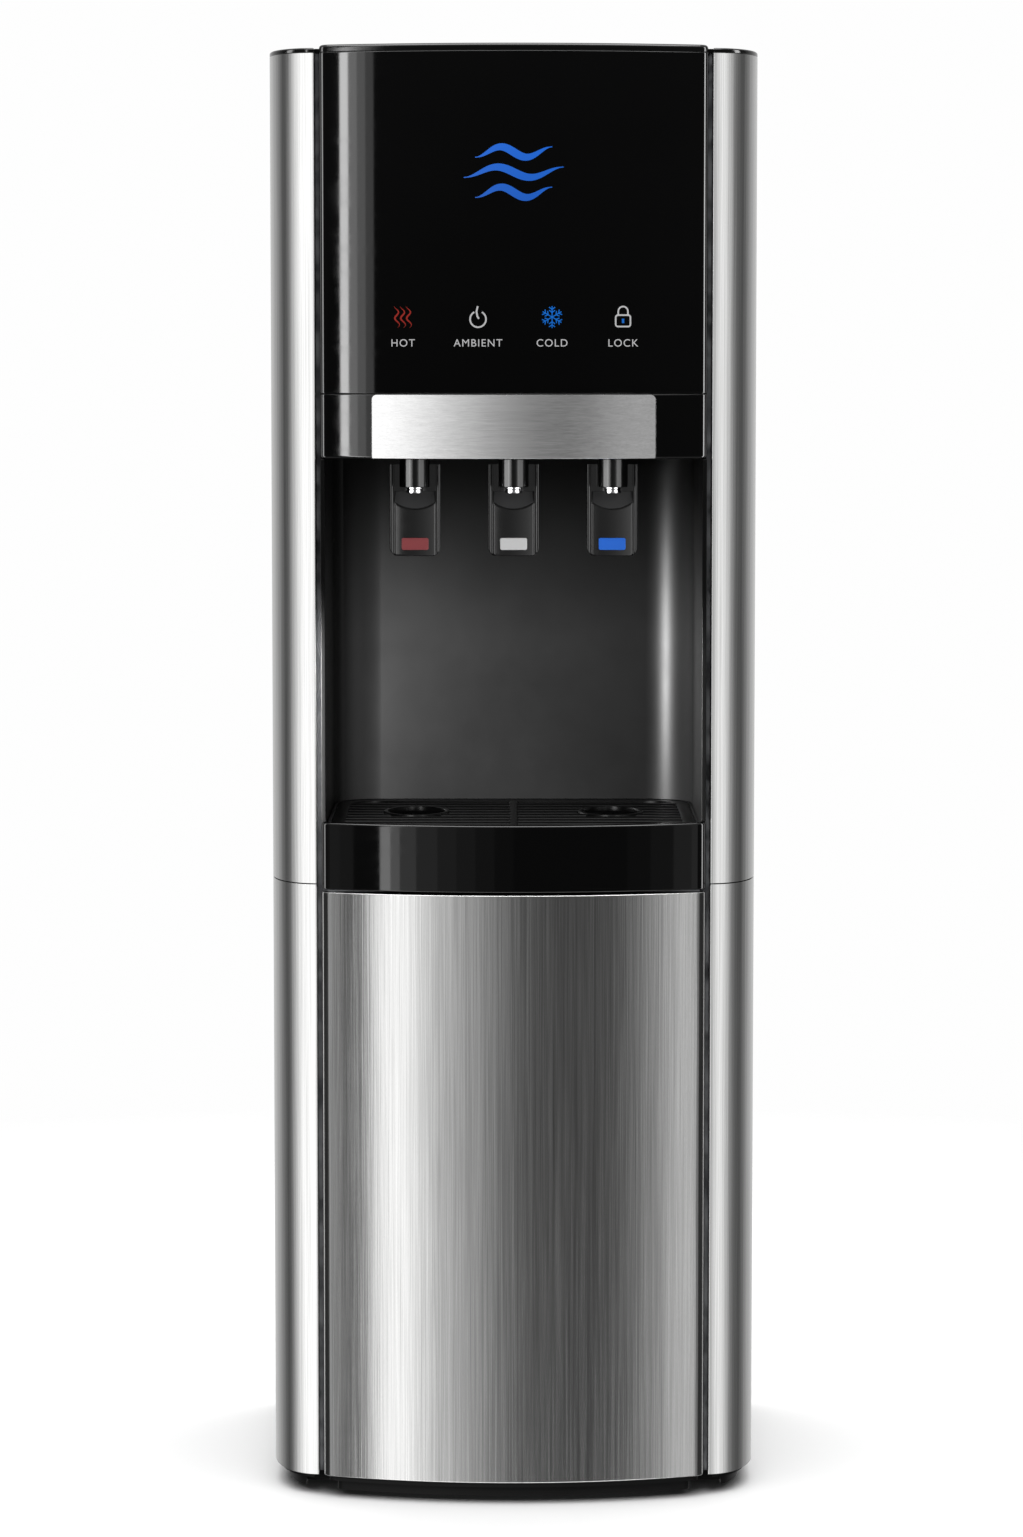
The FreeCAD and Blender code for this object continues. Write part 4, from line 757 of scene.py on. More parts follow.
class Pattern:
    """A Geometry Nodes tree under construction, with named inputs for its sizes."""

    def __init__(self, name: str, sizes: dict[str, float]) -> None:
        """Makes the tree and its interface.

        Args:
            name: The tree's name.
            sizes: Named inputs with their values.
        """
        self.tree = bpy.data.node_groups.new(name, "GeometryNodeTree")
        self.sizes = sizes
        face = self.tree.interface
        face.new_socket("Geometry", in_out="INPUT", socket_type="NodeSocketGeometry")
        for size in sizes:
            face.new_socket(size, in_out="INPUT", socket_type="NodeSocketFloat")
        face.new_socket("Finish", in_out="INPUT", socket_type="NodeSocketMaterial")
        face.new_socket("Geometry", in_out="OUTPUT", socket_type="NodeSocketGeometry")
        self.given = self.tree.nodes.new("NodeGroupInput")
        self.graph = Graph(self.tree)

    def node(self, kind: str, settings: dict[str, Any], sockets: dict[Any, Any]) -> bpy.types.Node:
        """Adds a node.

        Args:
            kind: The node's type name.
            settings: Its properties.
            sockets: Its inputs, where a text of the form "=Name" links the named input of the tree.

        Returns:
            The node.
        """
        linked = dict(sockets)
        for key, value in sockets.items():
            if isinstance(value, str) and value.startswith("="):
                linked[key] = self.given.outputs[value[1:]]
        return self.graph.node(kind, settings, linked)

    def finish(self, source: bpy.types.NodeSocket) -> None:
        """Ends the tree in Realize Instances and Set Material.

        Args:
            source: The geometry to end with.
        """
        real = self.node("GeometryNodeRealizeInstances", {}, {0: source})
        smooth = self.node("GeometryNodeSetShadeSmooth", {}, {0: real.outputs[0]})
        painted = self.node("GeometryNodeSetMaterial", {}, {0: smooth.outputs[0], "Material": "=Finish"})
        self.node("NodeGroupOutput", {}, {0: painted.outputs[0]})

    def run(self, name: str, base: bpy.types.Object, finish: Finish) -> bpy.types.Object:
        """Runs the tree on a base mesh and keeps the plain result.

        Args:
            name: The piece's name.
            base: The object that carries the points or edges, which is used up.
            finish: The finish set by the tree.

        Returns:
            The piece.
        """
        modifier = base.modifiers.new(self.tree.name, "NODES")
        modifier.node_group = self.tree
        sockets = {s.name: s.identifier for s in self.tree.interface.items_tree if s.in_out == "INPUT"}
        for size, value in self.sizes.items():
            modifier[sockets[size]] = value
        modifier[sockets["Finish"]] = finish.material()
        base.name = name
        bake(base)
        base.data.set_sharp_from_angle(angle=math.radians(35.0))
        return base


def rods(name: str, runs: Sequence[tuple[Point3, Point3]], radius: float, finish: Finish,
         squash: float = 1.0, sides: int = 10) -> bpy.types.Object:
    """Straight rods along runs, made by one tree that sweeps a round or squashed section.

    Args:
        name: The piece's name.
        runs: Both ends of each rod.
        radius: The section's half width.
        finish: The rods' finish.
        squash: The section's height as a share of its width.
        sides: Flats round a rod.

    Returns:
        The piece.
    """
    mesh = bpy.data.meshes.new(name)
    points = [point for run in runs for point in run]
    mesh.from_pydata(points, [(i, i + 1) for i in range(0, len(points), 2)], [])
    pattern = Pattern(name + "_sweep", {"Radius": radius, "Squash": squash})
    line = pattern.node("GeometryNodeMeshToCurve", {}, {0: "=Geometry"})
    ring = pattern.node("GeometryNodeCurvePrimitiveCircle", {}, {"Resolution": sides, "Radius": "=Radius"})
    flat = pattern.node("ShaderNodeCombineXYZ", {}, {0: 1.0, 1: "=Squash", 2: 1.0})
    section = pattern.node("GeometryNodeTransform", {}, {0: ring.outputs[0], "Scale": flat.outputs[0]})
    swept = pattern.node("GeometryNodeCurveToMesh", {},
                         {0: line.outputs[0], 1: section.outputs[0], "Fill Caps": True})
    pattern.finish(swept.outputs[0])
    return pattern.run(name, new_piece(name, mesh), finish)


# ---------------------------------------------------------------- sub-assemblies


@dataclass
class Column:
    """The bowed front that the fascia, header, tray front and door share."""

    bow: float = 23.4 * MM
    corner: float = 9.0 * MM
    half: float = field(init=False)
    front: float = field(init=False)
    radius: float = field(init=False)
    middle: float = field(init=False)

    def __post_init__(self) -> None:
        """Works out the bow's circle from the fascia's box."""
        low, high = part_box("upper_fascia")
        self.half = high.x
        self.front = low.y
        self.radius = (self.half ** 2 + self.bow ** 2) / (2 * self.bow)
        self.middle = self.front + self.radius

    def surface(self, x: float, inset: float = 0.0) -> float:
        """The y of the bowed front at x."""
        return self.middle - math.sqrt((self.radius - inset) ** 2 - x * x)

    def plan(self, inset: float, back: float, steps: int = 56) -> list[Point2]:
        """The open outline from the left return, round the front, to the right return.

        Args:
            inset: Distance inside the outer face.
            back: The y where the returns end.
            steps: Spans along the bow.

        Returns:
            The points.
        """
        corner = max(self.corner - inset, 0.3 * MM)
        side = self.half - inset
        bend_x = side - corner
        bend_y = self.middle - math.sqrt((self.radius - inset - corner) ** 2 - bend_x ** 2)
        tilt = math.degrees(math.atan2(bend_x, self.middle - bend_y))
        turn = arc((bend_x, bend_y), (corner, corner), -90 + tilt, 0, 10)
        bow = arc((0.0, self.middle), (self.radius - inset,) * 2, -90 - tilt, -90 + tilt, steps)
        right = turn[1:] + [(side, back)]
        return mirrored(right) + bow + right

    def shell(self, name: str, low: float, high: float, back: float, wall: float,
              foot_round: float, top_round: float) -> bpy.types.Object:
        """A bowed wall with rounded lower and upper edges.

        Args:
            name: The piece's name.
            low: Its lowest z.
            high: Its highest z.
            back: Where its returns end.
            wall: Its thickness.
            foot_round: Rounding of the lower front edge.
            top_round: Rounding of the upper front edge.

        Returns:
            The piece.
        """
        spans = 5
        foot = [(foot_round * (1 + x), low + foot_round * (1 + z))
                for x, z in arc((0, 0), (1, 1), 270, 180, spans)]
        top = [(top_round * (1 + x), high - top_round * (1 - z))
               for x, z in arc((0, 0), (1, 1), 180, 90, spans)]
        inner = min(0.3 * MM, wall / 3)
        section = foot + top + [(wall - inner, high), (wall, high - inner), (wall, low + inner),
                                (wall - inner, low)]
        rings = [[(x, y, z) for x, y in self.plan(inset, back)] for inset, z in section]
        piece = wrapped(name, rings, closed=False)
        return even_shading(piece)


@dataclass
class Cabinet:
    """The steel wings and the black lid."""

    column: Column
    wing_width: float = 34.5 * MM
    nose_depth: float = 60.0 * MM
    sheet: float = 1.0 * MM
    hem: float = 12.0 * MM
    lobe_step: float = 1.8 * MM
    wall_x: float = field(init=False)
    wing_x: float = field(init=False)
    wing_y: float = field(init=False)
    back: float = field(init=False)

    def __post_init__(self) -> None:
        """Reads the wings' place from the frame."""
        low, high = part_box("side_panel_upper_right")
        self.wall_x = high.x
        self.wing_x = self.wall_x - self.wing_width
        self.wing_y = low.y
        self.back = high.y

    def build_wing(self, level: str, side: int) -> None:
        """Builds one steel wing.

        Args:
            level: "upper" or "lower".
            side: 1 for the right wing and -1 for the left.
        """
        node = f"side_panel_{level}_{'right' if side > 0 else 'left'}"
        low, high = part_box(node)
        edge = 0.35 * MM
        section = [(self.sheet, low.z), (edge, low.z), (edge * 0.3, low.z + edge * 0.3), (0.0, low.z + edge),
                   (0.0, high.z - edge), (edge * 0.3, high.z - edge * 0.3), (edge, high.z),
                   (self.sheet, high.z)]
        rings = [[(side * x, y, z) for x, y in self.matched(inset)] for inset, z in section]
        piece = even_shading(wrapped(node + "_sheet", rings, closed=False))
        shown(piece, WING_STEEL, Body.CABINET.value, [node])

    def matched(self, inset: float) -> list[Point2]:
        """The wing's outline with the same number of points at every inset."""
        start = self.wing_y + inset
        edge = self.wing_x + inset
        centre = (self.wing_x, self.wing_y + self.nose_depth)
        radius = (self.wing_width - inset, self.nose_depth - inset)
        bend = 1.2 * MM
        lead = math.degrees(math.acos((edge + bend - centre[0]) / radius[0]))
        nose = arc(centre, radius, -lead, 0, 28)
        turn = arc((edge + bend, nose[0][1] + bend), (bend, bend), 180, 270, 4)[:-1]
        rear = [(self.wall_x - inset, self.back - inset), (self.wall_x - self.hem, self.back - inset)]
        return [(edge, start + self.hem - inset)] + turn + nose + rear

    def build_lid(self) -> None:
        """Builds the black lid: a cap over both wings, and the lobe over the column a step higher."""
        low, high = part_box("top_cover")
        cap_top = high.z - self.lobe_step
        round_cap, round_lobe = 1.6 * MM, 2.6 * MM
        cap = self.lid_layer("lid_cap", self.cap_plan, low.z, cap_top, round_cap)
        lobe = self.lid_layer("lid_lobe", self.lobe_plan, low.z, high.z, round_lobe)
        piece = even_shading(joined("lid", [cap, lobe]))
        shown(piece, LID_GLOSS, Body.CABINET.value, ["top_cover"])

    def lid_layer(self, name: str, plan: Any, low: float, high: float, rounding: float) -> bpy.types.Object:
        """One flat layer with a rounded upper rim.

        Args:
            name: The layer's name.
            plan: Gives the closed outline at an inset.
            low: Its lowest z.
            high: Its highest z.
            rounding: The rim's rounding.

        Returns:
            The layer.
        """
        foot = 0.4 * MM
        rim = [(rounding * (1 + x), high - rounding * (1 - z)) for x, z in arc((0, 0), (1, 1), 180, 90, 6)]
        section = [(foot, low), (0.0, low + foot)] + rim
        rings = [[(x, y, z) for x, y in plan(inset)] for inset, z in section]
        return wrapped(name, rings, closed=True)

    def cap_plan(self, inset: float) -> list[Point2]:
        """The closed outline over both wings."""
        nose = arc((self.wing_x, self.wing_y + self.nose_depth),
                   (self.wing_width - inset, self.nose_depth - inset), -90 + 3, 0, 28)
        half = [(self.wing_x + inset, self.wing_y + self.hem),
                (self.wing_x + inset, self.wing_y + inset + 0.6 * MM)]
        half += nose + [(self.wall_x - inset, self.back - inset)]
        return half + mirrored(half)

    def lobe_plan(self, inset: float) -> list[Point2]:
        """The closed outline over the column."""
        return self.column.plan(inset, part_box("top_cover")[1].y - inset)

    def build(self) -> None:
        """Builds the four wings and the lid."""
        for level in ("lower", "upper"):
            for side in (-1, 1):
                self.build_wing(level, side)
        self.build_lid()


@dataclass
class Front:
    """The fixed black front with its steel trim plate."""

    column: Column
    wall: float = 3.0 * MM
    trim_proud: float = 1.0 * MM
    header_round: float = 2.5 * MM

    def build(self) -> None:
        """Builds the fascia, the header and the trim plate."""
        for node, foot, top in (("upper_fascia", 0.5 * MM, 0.8 * MM),
                                ("header_panel", self.header_round, 0.5 * MM)):
            low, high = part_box(node)
            piece = self.column.shell(node + "_face", low.z, high.z, high.y, self.wall, foot, top)
            shown(piece, FRONT_GLOSS, Body.CABINET.value, [node])
        self.build_trim()

    def build_trim(self) -> None:
        """Builds the bowed trim plate, its upper corners rounded and its rim bevelled."""
        low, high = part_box("steel_trim_plate")
        half, corner, bevel = high.x, 4.0 * MM, 0.5 * MM
        foot_corner = 1.2 * MM

        def outline(inset: float) -> list[Point2]:
            upper = arc((half - corner, high.z - corner), (corner - inset, corner - inset), 0, 90, 8)
            lower = arc((half - foot_corner, low.z + foot_corner), (foot_corner - inset,) * 2, -90, 0, 4)
            across = 40
            run = half - corner
            top = [(run - 2 * run * i / across, high.z - inset) for i in range(1, across)]
            foot = [(x, low.z + inset) for x, _ in reversed(top)]
            return lower + upper + top + [(-x, z) for x, z in reversed(upper)] + [
                (-x, z) for x, z in reversed(lower)] + foot

        rings = []
        for inset, proud in ((0.0, 0.0), (0.0, self.trim_proud - bevel),
                             (bevel * 0.3, self.trim_proud - bevel * 0.3),
                             (bevel, self.trim_proud)):
            rings.append([(x, self.column.surface(x, -proud), z) for x, z in outline(inset)])
        piece = even_shading(self.filled("trim_plate", rings, low.z, high.z))
        shown(piece, TRIM_STEEL, Body.CABINET.value, ["steel_trim_plate"])

    def filled(self, name: str, rings: Sequence[Sequence[Point3]], low: float,
               high: float) -> bpy.types.Object:
        """Skins the rim rings and fills both faces with upright strips that follow the bow.

        Args:
            name: The piece's name.
            rings: The rim's rings, back first.
            low: Lowest z of the plate.
            high: Highest z of the plate.

        Returns:
            The piece.
        """
        bm = bmesh.new()
        grid = [[bm.verts.new(p) for p in ring] for ring in rings]
        for first, second in zip(grid, grid[1:]):
            for j in range(len(first)):
                k = (j + 1) % len(first)
                bm.faces.new((first[j], first[k], second[k], second[j]))
        middle = (low + high) / 2
        for ring in (grid[0], grid[-1]):
            upper = sorted((v for v in ring if v.co.z > middle),
                           key=lambda v: (v.co.x, v.co.z if v.co.x < 0 else -v.co.z))
            lower = sorted((v for v in ring if v.co.z <= middle),
                           key=lambda v: (v.co.x, -v.co.z if v.co.x < 0 else v.co.z))
            i = j = 0
            while i < len(upper) - 1 or j < len(lower) - 1:
                ended = j == len(lower) - 1
                step_up = ended or (i < len(upper) - 1 and upper[i + 1].co.x <= lower[j + 1].co.x)
                third = upper[i + 1] if step_up else lower[j + 1]
                bm.faces.new((upper[i], lower[j], third))
                i, j = (i + 1, j) if step_up else (i, j + 1)
        return mesh_of(name, bm)


@dataclass
class Door:
    """The bowed steel door skin; its liner and pins are carried over."""

    column: Column
    sheet: float = 1.0 * MM

    def build(self) -> None:
        """Builds the skin with a rolled upper and lower edge."""
        low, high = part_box("door_skin")
        piece = self.column.shell("door_sheet", low.z, high.z, high.y, self.sheet, 0.7 * MM, 0.9 * MM)
        shown(piece, DOOR_STEEL, Body.DOOR.value, ["door_skin"])


@dataclass
class Tray:
    """The sliding drip tray and its lift-off grille."""

    column: Column
    plastic: float = 3.0 * MM
    wall: float = 2.2 * MM
    ledge: float = 4.5 * MM
    floor: float = 2.5 * MM
    corner: float = 34.0 * MM
    bar_pitch: float = 20.0 * MM
    bar: float = 7.0 * MM
    border: float = 9.0 * MM
    tap_pitch: float = 71.0 * MM
    cup: Point2 = (21.0 * MM, 32.0 * MM)
    rim: float = 3.0 * MM

    def build(self) -> None:
        """Builds the tray and the grille."""
        self.build_tray()
        self.build_grille()

    def tub_plan(self, inset: float, side: float, rear: float, front_gap: float) -> list[Point2]:
        """The tub's closed outline: a bowed front and two rounded rear corners.

        Args:
            inset: Distance inside the outline.
            side: Half its width.
            rear: Its rear y.
            front_gap: The front's distance inside the column's face.

        Returns:
            The points.
        """
        edge = side - inset
        corner = self.corner - inset
        reach = self.column.radius - front_gap - inset
        tilt = math.degrees(math.asin(edge / reach))
        bow = arc((0.0, self.column.middle), (reach, reach), -90, -90 + tilt, 24)
        turn = arc((edge - corner, rear - inset - corner), (corner, corner), 0, 90, 14)
        half = bow + turn
        return half + mirrored(half)[:-1]

    def build_tray(self) -> None:
        """Builds the gloss front and the tub behind it."""
        low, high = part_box("drip_tray")
        side = self.column.half - 3.2 * MM - 1.0 * MM
        tub_low = low.z + 2.9 * MM
        rim_top = high.z - 0.4 * MM
        shelf = rim_top - 3.4 * MM
        edge = 0.4 * MM
        section = [(0.0, tub_low), (0.0, rim_top - edge), (edge, rim_top), (self.wall - edge, rim_top),
                   (self.wall, rim_top - edge), (self.wall, shelf), (self.wall + self.ledge, shelf),
                   (self.wall + self.ledge, tub_low + self.floor + 2 * MM),
                   (self.wall + self.ledge + 2 * MM, tub_low + self.floor)]
        rings = [[(x, y, z) for x, y in self.tub_plan(inset, side, high.y, self.plastic - 0.2 * MM)]
                 for inset, z in section]
        tub = wrapped("tray_tub", rings, closed=True)
        tub.data.materials.append(DARK_SATIN.material())
        front = self.column.shell("tray_front", low.z, high.z, low.y + 34 * MM, self.plastic, 0.8 * MM,
                                  2.0 * MM)
        front.data.materials.append(FRONT_GLOSS.material())
        piece = even_shading(joined("tray", [front, tub]))
        shown(piece, FRONT_GLOSS, Body.TRAY.value, ["drip_tray"])

    def build_grille(self) -> None:
        """Builds the grille: a border, rows of bars, a middle bar and two ringed cup openings."""
        low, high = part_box("drip_grille")
        top, foot = high.z - 0.6 * MM, low.z
        side, rear = high.x, high.y
        gap = self.column.front - low.y
        border = self.band("grille_border", side, rear, -gap, foot, top)
        runs, middle_y = self.bar_runs(side, rear, (top + foot) / 2)
        bars = rods("grille_bars", runs, self.bar * 0.5, GRILLE_SATIN, squash=(top - foot) / self.bar,
                    sides=16)
        rings = [self.cup_ring(f"cup_ring_{i}", hand * self.tap_pitch, middle_y, foot, high.z)
                 for i, hand in enumerate((-1, 1))]
        for part in (border, *rings):
            part.data.materials.append(GRILLE_SATIN.material())
        piece = joined("grille", [border, bars, *rings])
        piece.data.set_sharp_from_angle(angle=math.radians(40.0))
        shown(piece, GRILLE_SATIN, Body.GRILLE.value, ["drip_grille"])

    def band(self, name: str, side: float, rear: float, front_gap: float, foot: float,
             top: float) -> bpy.types.Object:
        """The flat border with rounded upper edges.

        Args:
            name: The piece's name.
            side: Half its width.
            rear: Its rear y.
            front_gap: The front's distance inside the column's face.
            foot: Its lowest z.
            top: Its highest z.

        Returns:
            The piece.
        """
        edge = 0.5 * MM
        section = [(0.0, foot), (0.0, top - edge), (edge * 0.3, top - edge * 0.3), (edge, top),
                   (self.border - edge, top), (self.border - edge * 0.3, top - edge * 0.3),
                   (self.border, top - edge), (self.border, foot), (0.0, foot)]
        rings = [[(x, y, z) for x, y in self.tub_plan(inset, side, rear, front_gap)] for inset, z in section]
        piece = wrapped(name, rings, closed=True, capped=False)
        merge(piece)
        return piece

    def bar_runs(self, side: float, rear: float, z: float) -> tuple[list[tuple[Point3, Point3]], float]:
        """Where the bars run: cut back to the cup rings, with the middle bar last.

        Args:
            side: Half the grille's width.
            rear: Its rear y.
            z: The bars' height.

        Returns:
            The runs, and the y of the cup openings' middle.
        """
        room = rear - self.column.front - self.column.bow - 2 * self.border
        rows = int(room // self.bar_pitch)
        start = rear - self.border - 4 * MM
        middle_y = start - rows / 2 * self.bar_pitch + self.bar / 2
        half_x, half_y = self.cup[0] + self.rim * 0.5, self.cup[1] + self.rim * 0.5
        runs = []
        for row in range(rows):
            y = start - row * self.bar_pitch - self.bar_pitch + self.bar / 2
            outer = side - self.border * 0.6
            share = (y - middle_y) / half_y
            for hand in (-1, 1):
                if abs(share) < 1:
                    reach = half_x * math.sqrt(1 - share * share)
                    spans = ((0.0, self.tap_pitch - reach), (self.tap_pitch + reach, outer))
                else:
                    spans = ((0.0, outer),)
                runs += [((hand * a, y, z), (hand * b, y, z)) for a, b in spans]
        runs.append(((0.0, rear - self.border * 0.5, z), (0.0, self.column.front + self.border, z)))
        return runs, middle_y

    def cup_ring(self, name: str, x: float, y: float, foot: float, top: float) -> bpy.types.Object:
        """An oval ring round a cup opening.

        Args:
            name: The piece's name.
            x: Its middle's x.
            y: Its middle's y.
            foot: Its lowest z.
            top: Its highest z.

        Returns:
            The piece.
        """
        edge = 0.8 * MM
        section = [(self.rim, foot), (self.rim, top - edge), (self.rim - edge * 0.3, top - edge * 0.3),
                   (self.rim - edge, top), (edge, top), (edge * 0.3, top - edge * 0.3), (0.0, top - edge),
                   (0.0, foot), (self.rim, foot)]
        rings = []
        for grow, z in section:
            oval = arc((x, y), (self.cup[0] + grow, self.cup[1] + grow), 0, 360, 64)[:-1]
            rings.append([(px, py, z) for px, py in oval])
        piece = wrapped(name, rings, closed=True, capped=False)
        merge(piece)
        return piece


@dataclass
class Relief:
    """A paddle's front: side rails, a bowed panel and a matt scoop above the panel's curved top."""

    x: float
    half: float
    front: float
    low: float
    top: float
    insert_low: Vector
    insert_high: Vector
    rail: float = 2.6 * MM
    groove: float = 0.9 * MM
    corner: float = 6.0 * MM
    smile_radius: float = 24.0 * MM
    smile_rise: float = 34.0 * MM
    scoop_rise: float = 12.5 * MM
    thickness: float = 10.0 * MM

    def foot(self, x: float) -> float:
        """The lowest z at x, round the lower corners."""
        past = max(0.0, abs(x) - (self.half - self.corner))
        return self.low + self.corner - math.sqrt(max(0.0, self.corner ** 2 - past ** 2))

    def smile(self, x: float) -> float:
        """The z of the panel's curved top at x."""
        held = min(abs(x), self.half - self.rail)
        return self.low + self.smile_rise + self.smile_radius - math.sqrt(self.smile_radius ** 2 - held ** 2)

    def columns(self) -> list[float]:
        """The x of every column of the relief, closer together at the rails and grooves."""
        panel = self.half - self.rail - self.groove
        edge = [self.half, self.half - 0.12 * MM, self.half - 0.4 * MM, self.half - 0.8 * MM,
                self.half - self.rail + 0.5 * MM, self.half - self.rail + 0.15 * MM, self.half - self.rail,
                panel, panel - 0.15 * MM, panel - 0.5 * MM, panel - 1.2 * MM]
        count = 24
        inner = [(panel - 2 * MM) * (1 - 2 * i / count) for i in range(1, count)]
        return [-x for x in edge] + [-x for x in inner] + list(reversed(edge))

    def depth(self, x: float, zone: str, share: float) -> float:
        """How far a point lies behind the rails' face.

        Args:
            x: The column.
            zone: "panel", "gap" or "scoop".
            share: The height within the zone, from 0 to 1.

        Returns:
            The depth.
        """
        out = abs(x)
        if out > self.half - 0.5 * MM:
            return 0.5 * MM * ((out - self.half + 0.5 * MM) / (0.5 * MM)) ** 2
        if out > self.half - self.rail + 0.01 * MM:
            return 0.25 * MM if out < self.half - self.rail + 0.2 * MM else 0.0
        panel = self.half - self.rail - self.groove
        if out > panel - 0.01 * MM:
            return 1.6 * MM
        if zone == "gap":
            return 2.4 * MM
        bow = 1.5 * MM * (x / panel) ** 2
        rim = 0.3 * MM if out > panel - 0.2 * MM else 0.0
        if zone == "scoop":
            return 1.2 * MM + 2.0 * MM * share + bow * 0.6 + rim
        return 0.1 * MM + bow * 0.75 + rim + (0.3 * MM if share > 0.985 else 0.0)

    def rows(self) -> list[tuple[str, float]]:
        """The zones and heights of every row."""
        panel = [0.0, 0.01, 0.03] + [i / 26 for i in range(1, 26)] + [0.98, 1.0]
        return [("panel", t) for t in panel] + [("gap", 0.0), ("gap", 1.0)] + [
            ("scoop", i / 12) for i in range(13)] + [("gap", 2.0), ("gap", 3.0)]

    def height(self, x: float, zone: str, share: float) -> float:
        """The z of a row at a column.

        Args:
            x: The column.
            zone: The row's zone.
            share: The row's height within it.

        Returns:
            The z.
        """
        foot, smile = self.foot(x), self.smile(x)
        scoop_top = self.low + self.smile_rise + self.scoop_rise
        if zone == "panel":
            return foot + (smile - 0.3 * MM - foot) * share
        if zone == "scoop":
            return smile + 0.35 * MM + (scoop_top - smile - 0.35 * MM) * share
        return {0.0: smile - 0.28 * MM, 1.0: smile + 0.33 * MM, 2.0: scoop_top + 0.05 * MM,
                3.0: self.top}[share]

    def build(self, name: str) -> bpy.types.Object:
        """Builds the closed relief, its scoop matt and the rest gloss.

        Args:
            name: The piece's name.

        Returns:
            The piece.
        """
        bm = bmesh.new()
        columns, rows = self.columns(), self.rows()
        grid = []
        for row, (zone, share) in enumerate(rows):
            line = []
            for x in columns:
                z = self.height(x, zone, share)
                sunk = self.depth(x, zone, share) + (0.4 * MM * (1 - row / 2) ** 2 if row < 2 else 0.0)
                line.append(bm.verts.new((self.x + x, self.front + sunk, z)))
            grid.append(line)
        for row in range(len(rows) - 1):
            for column in range(len(columns) - 1):
                quad = (grid[row][column], grid[row][column + 1], grid[row + 1][column + 1],
                        grid[row + 1][column])
                face = bm.faces.new(quad)
                wide = abs(columns[column] + columns[column + 1]) / 2 < self.half - self.rail - self.groove
                scooped = rows[row][0] == rows[row + 1][0] == "scoop"
                face.material_index = 1 if scooped and wide else 0
        rim = grid[0] + [line[-1] for line in grid[1:]] + list(reversed(grid[-1][:-1])) + [
            line[0] for line in reversed(grid[1:-1])]
        back = [bm.verts.new((v.co.x, self.front + self.thickness, v.co.z)) for v in rim]
        for i in range(len(rim)):
            j = (i + 1) % len(rim)
            bm.faces.new((rim[i], back[i], back[j], rim[j]))
        bm.faces.new(back)
        piece = mesh_of(name, bm, smooth=50.0)
        piece.data.materials.append(TAP_GLOSS.material())
        piece.data.materials.append(SCOOP_MATT.material())
        return piece


